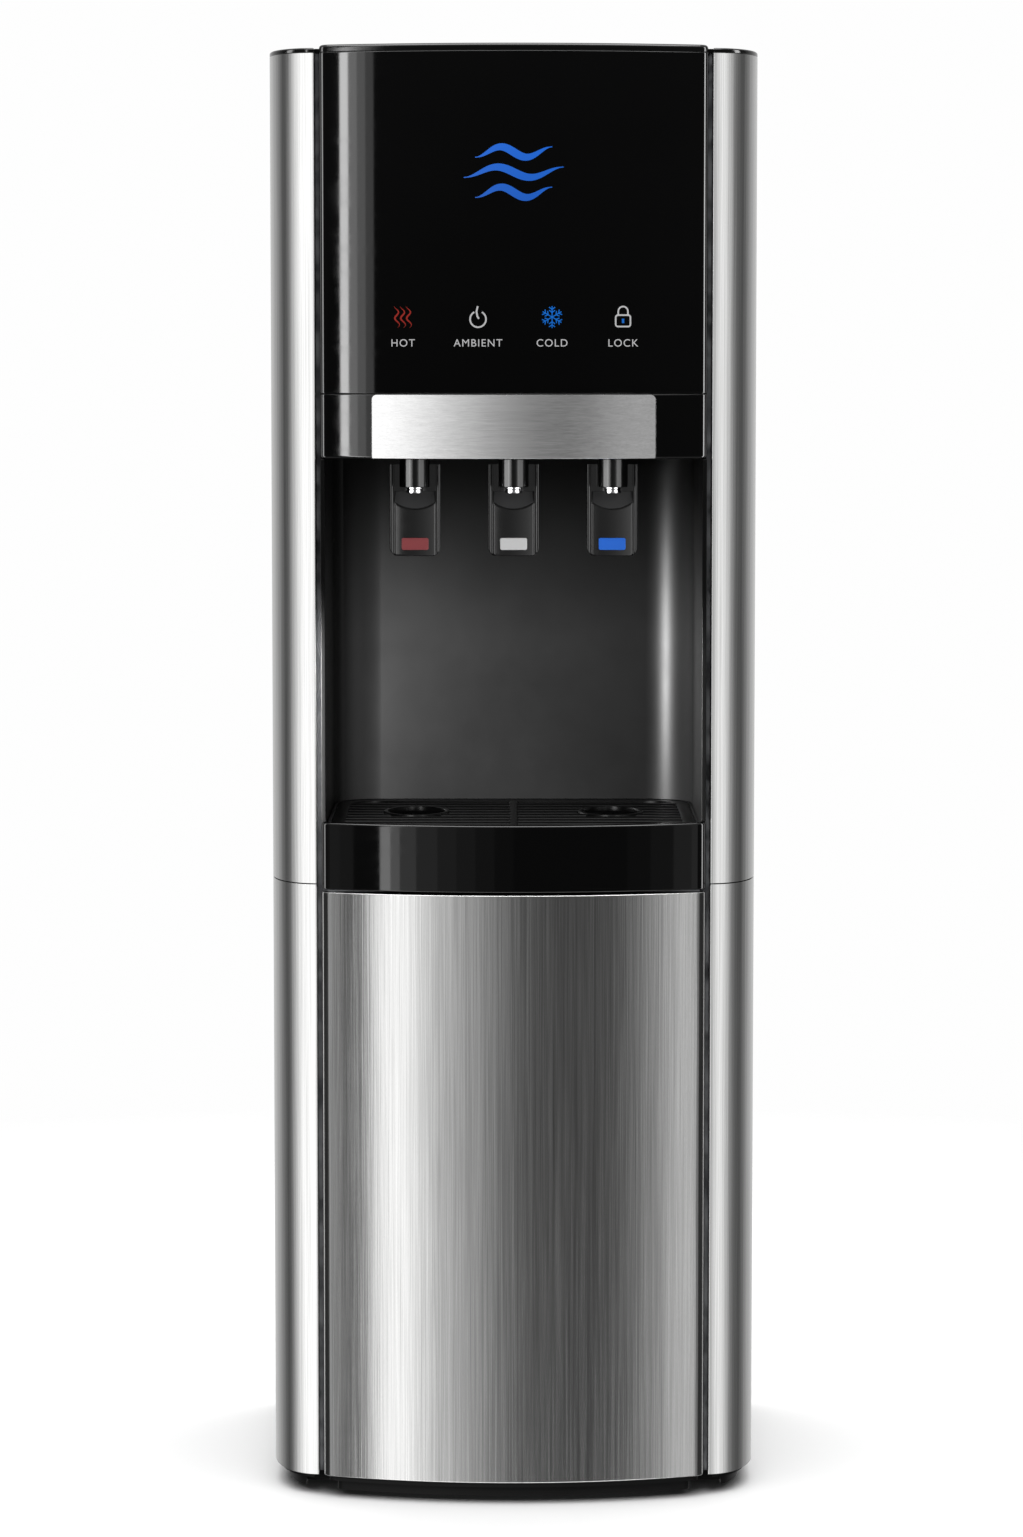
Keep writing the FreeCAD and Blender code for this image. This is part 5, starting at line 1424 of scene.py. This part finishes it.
@dataclass
class Taps:
    """The three spouts over their push paddles."""

    names: tuple[str, ...] = ("hot", "ambient", "cold")

    def build(self) -> None:
        """Builds the sleeves, the tips and the paddles with their inserts."""
        inserts = {"hot": RED_INSERT, "ambient": WHITE_INSERT, "cold": BLUE_INSERT}
        for name in self.names:
            body = f"paddle_lever_{name}"
            shown(self.paddle(name), TAP_GLOSS, body, [f"paddle_{name}"])
            insert = softened(f"paddle_{name}_insert", f"paddle_insert_{name}", 0.35 * MM, 3)
            shown(insert, inserts[name], body, [f"paddle_insert_{name}"])
        self.build_spouts()

    def paddle(self, name: str) -> bpy.types.Object:
        """A paddle's relief front with its flat back, its arm and the boss on its pin.

        Args:
            name: The tap's name.

        Returns:
            The paddle.
        """
        low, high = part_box(f"paddle_{name}")
        insert_low, insert_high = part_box(f"paddle_insert_{name}")
        x = (low.x + high.x) / 2
        face = Relief(x, high.x - x, low.y, low.z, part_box("header_panel")[0].z - 5 * MM, insert_low,
                      insert_high)
        blade = face.build(f"paddle_{name}_blade")
        boss = 5 * MM
        arm_half = high.x - x - 9 * MM
        centre = (low.y + 19 * MM, high.z - boss)
        across = [(centre[0] + boss * math.cos(math.pi * i / 12),
                   centre[1] + boss * math.sin(math.pi * i / 12))
                  for i in range(13)]
        outline = [(centre[0] - 4 * MM, face.top - 4 * MM), (centre[0] + 4 * MM, face.top - 4 * MM)] + across
        rings = [[(x + side * arm_half, y, z) for y, z in outline] for side in (-1, 1)]
        arm = wrapped("arm", rings, closed=True)
        arm.data.materials.append(TAP_GLOSS.material())
        return joined(f"paddle_{name}_blade", [blade, arm])

    def build_spouts(self) -> None:
        """Builds the gloss sleeves and the chrome tips below them."""
        low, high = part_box("spout_sleeves")
        tip_low, tip_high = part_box("spout_tips")
        flange = (high.y - low.y) / 2
        tip_radius = (tip_high.y - tip_low.y) / 2
        pitch = high.x - flange
        y = (low.y + high.y) / 2
        radius, bore = flange - 3 * MM, 4 * MM
        sleeves, tips = [], []
        for index, x in enumerate((-pitch, 0.0, pitch)):
            chamfer = 0.8 * MM
            outline = [(tip_radius + 0.2 * MM, low.z), (radius - chamfer, low.z),
                       (radius - chamfer * 0.3, low.z + chamfer * 0.3),
                       (radius, low.z + chamfer), (radius, high.z - 10 * MM), (radius, high.z - 9 * MM),
                       (flange, high.z - 9 * MM), (flange, high.z), (bore * 2, high.z),
                       (bore * 2, low.z + 8 * MM),
                       (tip_radius + 0.2 * MM, low.z + 8 * MM)]
            sleeves.append(turned(f"sleeve_{index}", (x, y), outline))
            lip = 0.5 * MM
            tip = [(bore, tip_low.z), (tip_radius - lip, tip_low.z),
                   (tip_radius - lip * 0.3, tip_low.z + lip * 0.3),
                   (tip_radius, tip_low.z + lip), (tip_radius, tip_low.z + 2.2 * MM),
                   (tip_radius - lip, tip_low.z + 2.6 * MM),
                   (tip_radius, tip_low.z + 3 * MM), (tip_radius, tip_high.z), (bore, tip_high.z)]
            tips.append(turned(f"tip_{index}", (x, y), tip))
        shown(even_shading(joined("spout_sleeve_set", sleeves)), TAP_GLOSS, Body.CABINET.value,
              ["spout_sleeves"])
        shown(even_shading(joined("spout_tip_set", tips)), CHROME, Body.CABINET.value,
              ["spout_tips"])


@dataclass
class Interior:
    """The alcove, and what the frame already shapes well enough."""

    def build(self) -> None:
        """Softens the alcove's liner and dresses every carried-over node."""
        liner = softened("alcove_shell", "alcove_liner", 0.5 * MM, 2)
        shown(liner, LINER_SATIN, Body.CABINET.value, ["alcove_liner"])
        for finish, nodes in CARRIED_OVER.items():
            for node in nodes:
                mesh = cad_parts[node].data
                mesh.materials.clear()
                mesh.materials.append(finish.material())
                LOG.info("%s: carried over as %s", node, finish.name)


@dataclass
class Rear:
    """The condenser's wires and the panel screws."""

    wire: float = 0.8 * MM
    pairs: int = 19
    screw: float = 2.6 * MM

    def build(self) -> None:
        """Builds the wires on both sides of the condenser's tube, and the cross-head screws."""
        low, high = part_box("condenser_wires")
        runs = []
        for index in range(self.pairs):
            x = low.x + self.wire + (high.x - low.x - 2 * self.wire) * index / (self.pairs - 1)
            for y in (low.y + self.wire, high.y - self.wire):
                runs.append(((x, y, low.z), (x, y, high.z)))
        wires = rods("condenser_wire_set", runs, self.wire, BLACK_PAINT, sides=8)
        shown(wires, BLACK_PAINT, Body.CABINET.value, ["condenser_wires"])
        self.build_screws()

    def build_screws(self) -> None:
        """Builds a domed cross-head screw at each of the rear panel's screws."""
        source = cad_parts["panel_screws"].data
        low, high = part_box("panel_screws")
        centres = self.clusters([v.co.copy() for v in source.vertices])
        mesh = bpy.data.meshes.new("screw_points")
        mesh.from_pydata([(c.x, low.y, c.z) for c in centres], [], [])
        head = self.screw_head(high.y - low.y)
        pattern = Pattern("panel_screw_set", {"Turn": 0.6})
        spin = pattern.node("FunctionNodeRandomValue", {"data_type": "FLOAT"},
                            {2: 0.0, 3: "=Turn", "Seed": 4})
        angle = pattern.node("ShaderNodeCombineXYZ", {}, {1: spin.outputs[1]})
        model = pattern.node("GeometryNodeObjectInfo", {}, {"Object": head})
        put = pattern.node("GeometryNodeInstanceOnPoints", {},
                           {"Points": "=Geometry", "Instance": model.outputs["Geometry"],
                            "Rotation": angle.outputs[0]})
        pattern.finish(put.outputs[0])
        screws = pattern.run("rear_screws", new_piece("rear_screws", mesh), ZINC)
        bpy.data.objects.remove(head)
        shown(screws, ZINC, Body.CABINET.value, ["panel_screws"])

    def clusters(self, points: Sequence[Vector]) -> list[Vector]:
        """The middle of each group of points that lie within one screw head.

        Args:
            points: The points.

        Returns:
            One middle for each group.
        """
        groups: list[list[Vector]] = []
        for point in points:
            for group in groups:
                if (point - group[0]).length < 4 * self.screw:
                    group.append(point)
                    break
            else:
                groups.append([point])
        spans = [(Vector(map(min, *g)), Vector(map(max, *g))) for g in groups]
        return [(low + high) / 2 for low, high in spans]

    def screw_head(self, height: float) -> bpy.types.Object:
        """A domed head with a cross recess, its axis along +Y.

        Args:
            height: How far it stands proud.

        Returns:
            The head.
        """
        bm = bmesh.new()
        steps, rings = 24, 6
        grid = []
        for ring in range(rings + 1):
            share = ring / rings
            rise = height * math.sqrt(1 - share * share) if ring < rings else 0.0
            grid.append([self.head_point(share * self.screw * 1.5, 2 * math.pi * i / steps, rise, height)
                         for i in range(steps)])
        layers = [[bm.verts.new(p) for p in ring] for ring in grid]
        foot = [bm.verts.new((v.co.x, -0.0002, v.co.z)) for v in layers[-1]]
        layers.append(foot)
        for first, second in zip(layers, layers[1:]):
            for j in range(steps):
                k = (j + 1) % steps
                bm.faces.new((first[j], first[k], second[k], second[j]))
        bm.faces.new(foot)
        bmesh.ops.remove_doubles(bm, verts=bm.verts, dist=1e-6)
        return mesh_of("screw_head", bm)

    def head_point(self, radius: float, angle: float, rise: float, height: float) -> Point3:
        """A point of the head, sunk where the cross recess is.

        Args:
            radius: Its distance from the axis.
            angle: Its angle about the axis.
            rise: The dome's height there.
            height: The dome's full height.

        Returns:
            The point.
        """
        x, z = radius * math.cos(angle), radius * math.sin(angle)
        arm = min(abs(x), abs(z)) < 0.45 * MM and max(abs(x), abs(z)) < self.screw * 0.75
        return (x, rise - (0.8 * height if arm else 0.0), z)


@dataclass
class Graphics:
    """Printed symbols and words on the fascia, and the generic wave mark above them."""

    column: Column
    symbol_z: float = 849.0 * MM
    word_z: float = 831.0 * MM
    word_height: float = 5.2 * MM
    mark_z: float = 950.0 * MM
    proud: float = 0.12 * MM
    columns: tuple[float, ...] = (-78.0 * MM, -25.0 * MM, 27.0 * MM, 77.0 * MM)

    def build(self) -> None:
        """Builds the four symbols with their words, and the mark."""
        for x, word in zip(self.columns, ("HOT", "AMBIENT", "COLD", "LOCK")):
            self.build_word(word, x)
        self.build_steam(self.columns[0])
        self.build_ring(self.columns[1])
        self.build_snowflake(self.columns[2])
        self.build_padlock(self.columns[3])
        self.build_mark()

    def laid(self, piece: bpy.types.Object, finish: Finish) -> None:
        """Lays a flat piece drawn in X and Z on the bowed front, and shows it.

        Args:
            piece: The piece, with its thickness along Y from 0 backwards.
            finish: Its print.
        """
        bm = bmesh.new()
        bm.from_mesh(piece.data)
        for vertex in bm.verts:
            vertex.co.y += self.column.surface(vertex.co.x) - self.proud
        bmesh.ops.recalc_face_normals(bm, faces=bm.faces)
        bm.to_mesh(piece.data)
        bm.free()
        piece.data.materials.clear()
        shown(piece, finish, Body.CABINET.value)

    def build_word(self, word: str, x: float) -> None:
        """Builds one word in plain capitals.

        Args:
            word: The word.
            x: Its middle.
        """
        curve = bpy.data.curves.new("word_" + word, "FONT")
        curve.body = word
        curve.size = self.word_height / 0.70
        curve.align_x = "CENTER"
        curve.space_character = 1.16
        curve.extrude = 0.05 * MM
        text = new_piece("text_" + word, curve)
        graph = bpy.context.evaluated_depsgraph_get()
        mesh = bpy.data.meshes.new_from_object(text.evaluated_get(graph))
        bpy.data.objects.remove(text)
        for vertex in mesh.vertices:
            flat_x, flat_y, depth = vertex.co
            vertex.co = (x + flat_x, -depth, self.word_z + flat_y - self.word_height / 2)
        self.laid(new_piece("word_" + word.lower(), mesh), WHITE_PRINT)

    def ribbon(self, name: str, strokes: Sequence[Sequence[Point2]], width: float, closed: bool = False,
               tapered: bool = False) -> bpy.types.Object:
        """Strokes of even width, or tapered towards both ends, drawn in X and Z.

        Args:
            name: The piece's name.
            strokes: The strokes' middle lines.
            width: Their width.
            closed: True if each stroke closes on itself.
            tapered: True if they narrow towards their ends.

        Returns:
            The piece.
        """
        bm = bmesh.new()
        for stroke in strokes:
            count = len(stroke)
            sections = []
            for i, (x, z) in enumerate(stroke):
                before = stroke[(i - 1) % count] if closed or i else stroke[0]
                after = stroke[(i + 1) % count] if closed or i < count - 1 else stroke[-1]
                along = Vector((after[0] - before[0], after[1] - before[1])).normalized()
                share = math.sin(math.pi * (i + 0.35) / (count - 0.3)) if tapered else 1.0
                across = Vector((-along.y, along.x)) * (width / 2 * max(share, 0.12))
                edges = [(x + across.x, z + across.y), (x - across.x, z - across.y)]
                sections.append([bm.verts.new((px, py, pz)) for (px, pz), py in
                                 ((edges[0], -0.05 * MM), (edges[1], -0.05 * MM), (edges[1], 0.05 * MM),
                                  (edges[0], 0.05 * MM))])
            spans = range(count if closed else count - 1)
            for i in spans:
                first, second = sections[i], sections[(i + 1) % count]
                for j in range(4):
                    k = (j + 1) % 4
                    bm.faces.new((first[j], first[k], second[k], second[j]))
            if not closed:
                bm.faces.new(sections[0])
                bm.faces.new(sections[-1])
        return mesh_of(name, bm)

    def build_steam(self, x: float) -> None:
        """Three rising waves, for hot."""
        strokes = []
        for offset in (-4.2 * MM, 0.0, 4.2 * MM):
            stroke = []
            for i in range(25):
                rise = i / 24 - 0.5
                sway = 1.5 * MM * math.sin(3.4 * math.pi * i / 24) - 1.2 * MM * rise
                stroke.append((x + offset + sway, self.symbol_z + 15 * MM * rise))
            strokes.append(stroke)
        self.laid(self.ribbon("symbol_hot", strokes, 1.25 * MM, tapered=True), RED_PRINT)

    def build_ring(self, x: float) -> None:
        """An open ring with a drop-pointed bar through its gap, for ambient."""
        ring = arc((x, self.symbol_z - 1.5 * MM), (5.6 * MM, 5.6 * MM), 118, 422, 40)
        bar = [(x - 0.2 * MM, self.symbol_z + 7.6 * MM), (x - 1.1 * MM, self.symbol_z + 4.0 * MM),
               (x - 0.5 * MM, self.symbol_z + 0.5 * MM), (x + 0.6 * MM, self.symbol_z - 1.2 * MM)]
        pieces = [self.ribbon("ring", [ring], 1.15 * MM), self.ribbon("bar", [bar], 1.3 * MM)]
        self.laid(joined("symbol_ambient", pieces), WHITE_PRINT)

    def build_snowflake(self, x: float) -> None:
        """Six barbed arms, made by a tree that repeats one arm about the middle, for cold."""
        reach, barb = 7.6 * MM, 2.6 * MM
        strokes = [[(0.0, 0.0), (0.0, reach)]]
        for place in (0.42, 0.70):
            for hand in (-1, 1):
                strokes.append([(0.0, reach * place), (hand * barb * 0.8, reach * place + barb * 0.62)])
        arm = self.ribbon("snowflake_arm", strokes, 0.72 * MM)
        pattern = Pattern("snowflake_arms", {"Step": math.radians(60)})
        count = pattern.node("GeometryNodeInputIndex", {}, {})
        turn = pattern.node("ShaderNodeMath", {"operation": "MULTIPLY"}, {0: count.outputs[0], 1: "=Step"})
        angle = pattern.node("ShaderNodeCombineXYZ", {}, {1: turn.outputs[0]})
        model = pattern.node("GeometryNodeObjectInfo", {}, {"Object": arm})
        put = pattern.node("GeometryNodeInstanceOnPoints", {},
                           {"Points": "=Geometry", "Instance": model.outputs["Geometry"],
                            "Rotation": angle.outputs[0]})
        pattern.finish(put.outputs[0])
        mesh = bpy.data.meshes.new("snowflake_points")
        mesh.from_pydata([(x, 0.0, self.symbol_z)] * 6, [], [])
        flake = pattern.run("symbol_cold", new_piece("symbol_cold", mesh), BLUE_PRINT)
        bpy.data.objects.remove(arm)
        self.laid(flake, BLUE_PRINT)

    def build_padlock(self, x: float) -> None:
        """A rounded padlock outline with a shackle and a keyhole, for the hot tap's lock."""
        half, foot, top, corner = 5.2 * MM, self.symbol_z - 6.6 * MM, self.symbol_z + 1.4 * MM, 1.6 * MM
        box = []
        for cx, cz, start in ((half - corner, top - corner, 0), (corner - half, top - corner, 90),
                              (corner - half, foot + corner, 180), (half - corner, foot + corner, 270)):
            box += arc((x + cx, cz), (corner, corner), start, start + 90, 5)
        shackle = [(x + 3.4 * MM, top)] + arc((x, top + 2.6 * MM), (3.4 * MM, 3.4 * MM), 0, 180,
                                              16) + [(x - 3.4 * MM, top)]
        pieces = [self.ribbon("lock_body", [box], 1.1 * MM, closed=True),
                  self.ribbon("shackle", [shackle], 1.1 * MM)]
        self.laid(joined("symbol_lock", pieces), WHITE_PRINT)
        middle = (foot + top) / 2
        hole = self.ribbon("symbol_keyhole", [[(x, middle + 1.5 * MM), (x, middle - 1.6 * MM)]], 1.7 * MM)
        self.laid(hole, BLUE_PRINT)

    def build_mark(self) -> None:
        """Three stacked waves, a plain sign for water."""
        strokes = []
        for span, z in ((27 * MM, 14 * MM), (35 * MM, 0.0), (27 * MM, -14 * MM)):
            stroke = []
            for i in range(61):
                turns = 0.5 + 1.5 * (i / 60 - 0.5)
                swell = 3.6 * MM * math.sin(2 * math.pi * turns)
                stroke.append((-span + 2 * span * i / 60, self.mark_z + z + swell))
            strokes.append(stroke)
        self.laid(self.ribbon("wave_mark", strokes, 5.6 * MM, tapered=True), MARK_PRINT)


# ---------------------------------------------------------------- studio


def group_of(name: str, pieces: Sequence[bpy.types.Object]) -> bpy.types.Collection:
    """Gathers pieces that share their lamps.

    Args:
        name: The group's name.
        pieces: The pieces.

    Returns:
        The collection.
    """
    group = bpy.data.collections.new(name)
    for piece in pieces:
        group.objects.link(piece)
    return group


@dataclass
class Lamp:
    """A rectangular lamp panel."""

    name: str
    place: Point3
    aim: Point3
    width: float
    height: float
    radiance: float

    def build(self, lit: bpy.types.Collection, blockers: bpy.types.Collection | None = None) -> None:
        """Puts the lamp in the scene.

        Args:
            lit: The pieces it lights.
            blockers: The pieces that throw its shadows, or None for all.
        """
        lamp = bpy.data.lights.new(self.name, "AREA")
        lamp.shape = "RECTANGLE"
        lamp.size = self.width
        lamp.size_y = self.height
        lamp.energy = self.radiance * self.width * self.height * math.pi
        holder = bpy.data.objects.new(self.name, lamp)
        bpy.context.scene.collection.objects.link(holder)
        holder.location = self.place
        holder.rotation_euler = (Vector(self.place) - Vector(self.aim)).to_track_quat("Z", "Y").to_euler()
        holder.visible_camera = False
        holder.light_linking.receiver_collection = lit
        if blockers is not None:
            holder.light_linking.blocker_collection = blockers


@dataclass
class LightCove:
    """A fan of lamp panels round the cabinet, whose glow follows the bearing."""

    name: str
    stops: tuple[Point2, ...]
    low: float = -1.8
    high: float = 2.8
    radius: float = 3.2
    widest: float = 7.0
    faintest: float = 0.035

    def build(self, lit: bpy.types.Collection) -> None:
        """Puts the panels in the scene.

        Args:
            lit: The pieces that reflect them.
        """
        middle = (self.low + self.high) / 2
        for number, ((first, glow), (last, after)) in enumerate(zip(self.stops, self.stops[1:])):
            if max(glow, after) < self.faintest:
                continue
            count = max(1, math.ceil((last - first) / self.widest)) if glow != after else 1
            for part in range(count):
                bearing = math.radians(first + (last - first) * (part + 0.5) / count)
                width = 2 * self.radius * math.tan(math.radians(last - first) / count / 2)
                radiance = glow + (after - glow) * (part + 0.5) / count
                place = (self.radius * math.sin(bearing), -self.radius * math.cos(bearing), middle)
                Lamp(f"{self.name}_{number}_{part}", place, (0.0, 0.0, middle), width, self.high - self.low,
                     radiance).build(lit)


COVES: dict[str, tuple[tuple[str, ...], tuple[Point2, ...]]] = {
    "fascia_cove": (("upper_fascia", "header_panel", "lid"), (
        (-101, 0), (-100, 5), (-85, 5), (-84, 0), (-36.6, 0.02), (-36.4, 13), (-34.8, 13), (-34.6, 3.8),
        (-32.8, 2.4), (-31, 1.4), (-29.3, 0.6), (-29.1, 0), (84, 0), (85, 9), (98, 9), (99, 0))),
    "tray_cove": (("tray",), (
        (-101, 0), (-100, 4), (-85, 4), (-84, 0), (-41, 0.1), (-37, 0.25), (-34, 0.0), (-28.3, 0.0),
        (-28.1, 4.6), (-26, 2.4), (-24, 1.0), (-20.5, 0.45), (-16, 0.24), (-8, 0.1), (0, 0.0), (24, 0.0),
        (34, 0.1), (38, 0.35), (42, 0.35), (43, 0), (84, 0), (85, 6), (98, 6), (99, 0))),
    "door_cove": (("door_sheet",), (
        (-60, 0.3), (-42, 0.42), (-38.5, 0.42), (-37, 0.05), (-32, 0.03), (-31, 0.5), (-29.5, 1.2),
        (-28, 1.65), (-22.5, 1.5), (-19.8, 1.0), (-17.7, 0.76), (-13.5, 0.55), (-9, 0.4), (-5, 0.28),
        (-1, 0.14), (3, 0.06), (6, 0.04), (19, 0.04), (23.6, 0.08), (26, 0.14), (29, 0.29), (33, 0.4),
        (36.5, 0.9), (38.5, 0.9), (41, 0.2), (60, 0.2))),
    "trim_cove": (("trim_plate",), (
        (-60, 0.8), (-36, 1.5), (-26, 1.55), (-22, 1.3), (-17, 0.98), (-12, 0.75), (-7, 0.53), (-2, 0.37),
        (3, 0.26), (8, 0.18), (13, 0.17), (18, 0.28), (23, 0.46), (28, 0.4), (60, 0.5))),
    "wing_cove": (("side_panel",), (
        (-120, 0.03), (-104, 0.1), (-95, 0.32), (-86, 0.68), (-76, 1.0), (-66, 1.28), (-56, 1.5),
        (-14, 1.55), (-5, 0.55), (4, 0.55), (20, 0.72), (33, 1.12), (45, 1.22), (56, 1.08), (68, 0.78),
        (78, 0.46), (87, 0.22), (97, 0.11), (120, 0.05))),
    "sleeve_cove": (("spout_",), (
        (-100, 0.2), (-73, 0.3), (-69, 6.5), (-34, 6.5), (-27, 0.3), (0, 0.1), (28, 0.4), (38, 3.2),
        (70, 3.2), (76, 0.4), (100, 0.2))),
    "paddle_cove": (("paddle_",), (
        (-101, 0), (-100, 5), (-88, 5), (-84, 0.2), (-30, 0.2), (0, 0.35), (12, 0.8), (34, 2.6), (60, 2.6),
        (84, 0.8), (88, 5), (100, 5), (101, 0))),
}


@dataclass
class Studio:
    """The camera, the floor, the lamps and the soft surround."""

    lens: float = 109.85
    eye: Point3 = (-0.0015, -3.487, 0.826)
    pitch: float = 5.1
    floor_size: float = 1.7

    def build_camera(self) -> None:
        """Puts the camera in front, a little above the taps, tilted down."""
        camera = bpy.data.cameras.new("front_camera")
        camera.sensor_width = 36.0
        camera.lens = self.lens
        holder = bpy.data.objects.new("front_camera", camera)
        bpy.context.scene.collection.objects.link(holder)
        holder.location = self.eye
        holder.rotation_euler = (math.radians(90 - self.pitch), 0.0, 0.0)
        bpy.context.scene.camera = holder

    def build_floor(self) -> None:
        """A pale disc that fades into the surround."""
        steps, rings = 96, 24
        bm = bmesh.new()
        centre = bm.verts.new((0.0, 0.0, 0.0))
        before = None
        for ring in range(1, rings + 1):
            reach = self.floor_size * (ring / rings) ** 1.5
            loop = [bm.verts.new((reach * math.cos(2 * math.pi * i / steps),
                                  reach * math.sin(2 * math.pi * i / steps), 0.0))
                    for i in range(steps)]
            for j in range(steps):
                k = (j + 1) % steps
                inner = (before[k], before[j]) if before else (centre,)
                bm.faces.new((loop[j], loop[k], *inner))
            before = loop
        floor = mesh_of("studio_floor", bm)
        material = bpy.data.materials.new("studio_floor")
        material.use_nodes = True
        graph = Graph(material.node_tree)
        shader = material.node_tree.nodes["Principled BSDF"]
        shader.inputs["Base Color"].default_value = (0.93, 0.93, 0.93, 1.0)
        shader.inputs["Roughness"].default_value = 0.9
        shader.inputs["Specular IOR Level"].default_value = 0.0
        reach = graph.value("ShaderNodeVectorMath", {"operation": "LENGTH"},
                            {0: graph.place((1.0, 1.0, 1.0))}, 1)
        graph.feed(shader.inputs["Alpha"], 1.0 - reach.clamped(0.35, self.floor_size * 0.95))
        floor.data.materials.append(material)
        for ray in ("visible_diffuse", "visible_glossy", "visible_transmission", "visible_shadow"):
            setattr(floor, ray, False)
        floor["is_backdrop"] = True

    def build_surround(self) -> None:
        """A white surround for the eye; for reflections it is dim in front and bright above and behind."""
        world = bpy.data.worlds.new("studio_surround")
        bpy.context.scene.world = world
        world.use_nodes = True
        tree = world.node_tree
        tree.nodes.clear()
        graph = Graph(tree)
        toward = graph.value("ShaderNodeTexCoord", {}, {}, "Generated")
        parts = graph.node("ShaderNodeSeparateXYZ", {}, {0: toward})
        y, z = Value(graph, parts.outputs[1]), Value(graph, parts.outputs[2])
        behind = y.clamped(0.45, 0.95) * 0.62
        above = z.clamped(0.45, 0.95) * 1.1
        below = (0.0 - z).clamped(0.35, 0.9) * 0.30
        light = 0.035 + behind + above + below
        seen = graph.value("ShaderNodeLightPath", {}, {}, "Is Camera Ray")
        plain = graph.node("ShaderNodeBackground", {}, {"Color": (0.99, 0.99, 0.99, 1.0), "Strength": 1.0})
        glow = graph.node("ShaderNodeBackground", {}, {"Color": (1.0, 1.0, 1.0, 1.0), "Strength": light})
        mixed = graph.node("ShaderNodeMixShader", {}, {0: seen, 1: glow.outputs[0], 2: plain.outputs[0]})
        graph.node("ShaderNodeOutputWorld", {}, {0: mixed.outputs[0]})

    def build_flag(self) -> bpy.types.Object:
        """A dark card beside the alcove's lamp that keeps its light off the top of the wall.

        Returns:
            The card.
        """
        bm = bmesh.new()
        corners = [bm.verts.new(place) for place in (
            (-0.45, -0.25, 0.607), (0.2, -0.25, 0.607), (0.2, -0.25, 0.9), (-0.45, -0.25, 0.9))]
        bm.faces.new(corners)
        flag = mesh_of("studio_flag", bm)
        flag.data.materials.append(bpy.data.materials.new("studio_flag"))
        for ray in ("visible_camera", "visible_diffuse", "visible_glossy", "visible_transmission"):
            setattr(flag, ray, False)
        flag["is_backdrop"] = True
        return flag

    def build_lamps(self) -> None:
        """Light cards for everything polished, and soft lamps for the satin pieces and the floor."""
        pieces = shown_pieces()

        def picked(*starts: str) -> list[bpy.types.Object]:
            return [piece for piece in pieces if piece.name.startswith(starts)]

        for name, (starts, stops) in COVES.items():
            LightCove(name, stops).build(group_of(name, picked(*starts)))
        polished = picked("upper_fascia", "header_panel", "lid", "tray", "door_sheet", "trim_plate")
        gloss = group_of("gloss_pieces", polished)
        nothing = group_of("no_shades", [])
        alcove = group_of("alcove_lit", picked("alcove_shell"))
        taps = picked("paddle_", "spout_")
        shades = group_of("alcove_shades", taps)
        flagged = group_of("alcove_flagged", taps + [self.build_flag()])
        Lamp("top_lamp", (0.0, -0.6, 3.4), (0.0, -0.1, 1.0), 2.6, 1.8, 6.0).build(gloss)
        Lamp("foot_lamp", (0.0, -1.6, -1.6), (0.0, -0.15, 0.7), 2.4, 1.6, 2.2).build(gloss, nothing)
        key = Lamp("alcove_lamp", (-0.34, -0.36, 0.58), (-0.04, 0.03, 0.60), 0.10, 0.05, 300.0)
        key.build(alcove, flagged)
        right = Lamp("corner_lamp_right", (-1.1, -0.42, 0.62), (0.11, 0.0, 0.62), 0.12, 0.5, 1.6)
        right.build(alcove, shades)
        left = Lamp("corner_lamp_left", (1.2, 0.22, 0.62), (-0.11, 0.0, 0.62), 0.12, 0.5, 1.2)
        left.build(alcove, shades)
        grille = group_of("grille_lit", picked("grille"))
        Lamp("grille_lamp", (0.0, 2.0, 0.86), (0.0, -0.07, 0.49), 1.4, 0.3, 7.0).build(grille, nothing)
        apart = polished + picked("side_panel", "alcove_shell")
        rest = group_of("room_lit", [piece for piece in pieces if piece not in apart])
        Lamp("room_lamp_left", (-1.5, -2.8, 1.3), (0.0, 0.0, 0.6), 1.4, 2.0, 3.2).build(rest)
        Lamp("room_lamp_right", (1.7, -2.7, 1.3), (0.0, 0.0, 0.6), 1.0, 2.0, 1.4).build(rest)
        floor = group_of("floor_lit", [bpy.data.objects["studio_floor"]])
        Lamp("floor_lamp", (0.0, -0.2, 2.8), (0.0, -0.2, 0.0), 4.4, 4.4, 1.9).build(floor)
        bpy.context.scene.view_settings.view_transform = "Standard"


def main() -> None:
    """Builds every sub-assembly in order, then the studio."""
    logging.basicConfig(level=logging.INFO, format="%(name)s: %(message)s")
    studio = Studio()
    studio.build_camera()
    column = Column()
    for part in (Cabinet(column), Front(column), Door(column), Tray(column), Taps(), Interior(), Rear(),
                 Graphics(column)):
        part.build()
    studio.build_floor()
    studio.build_surround()
    studio.build_lamps()


if __name__ == "__main__":
    main()
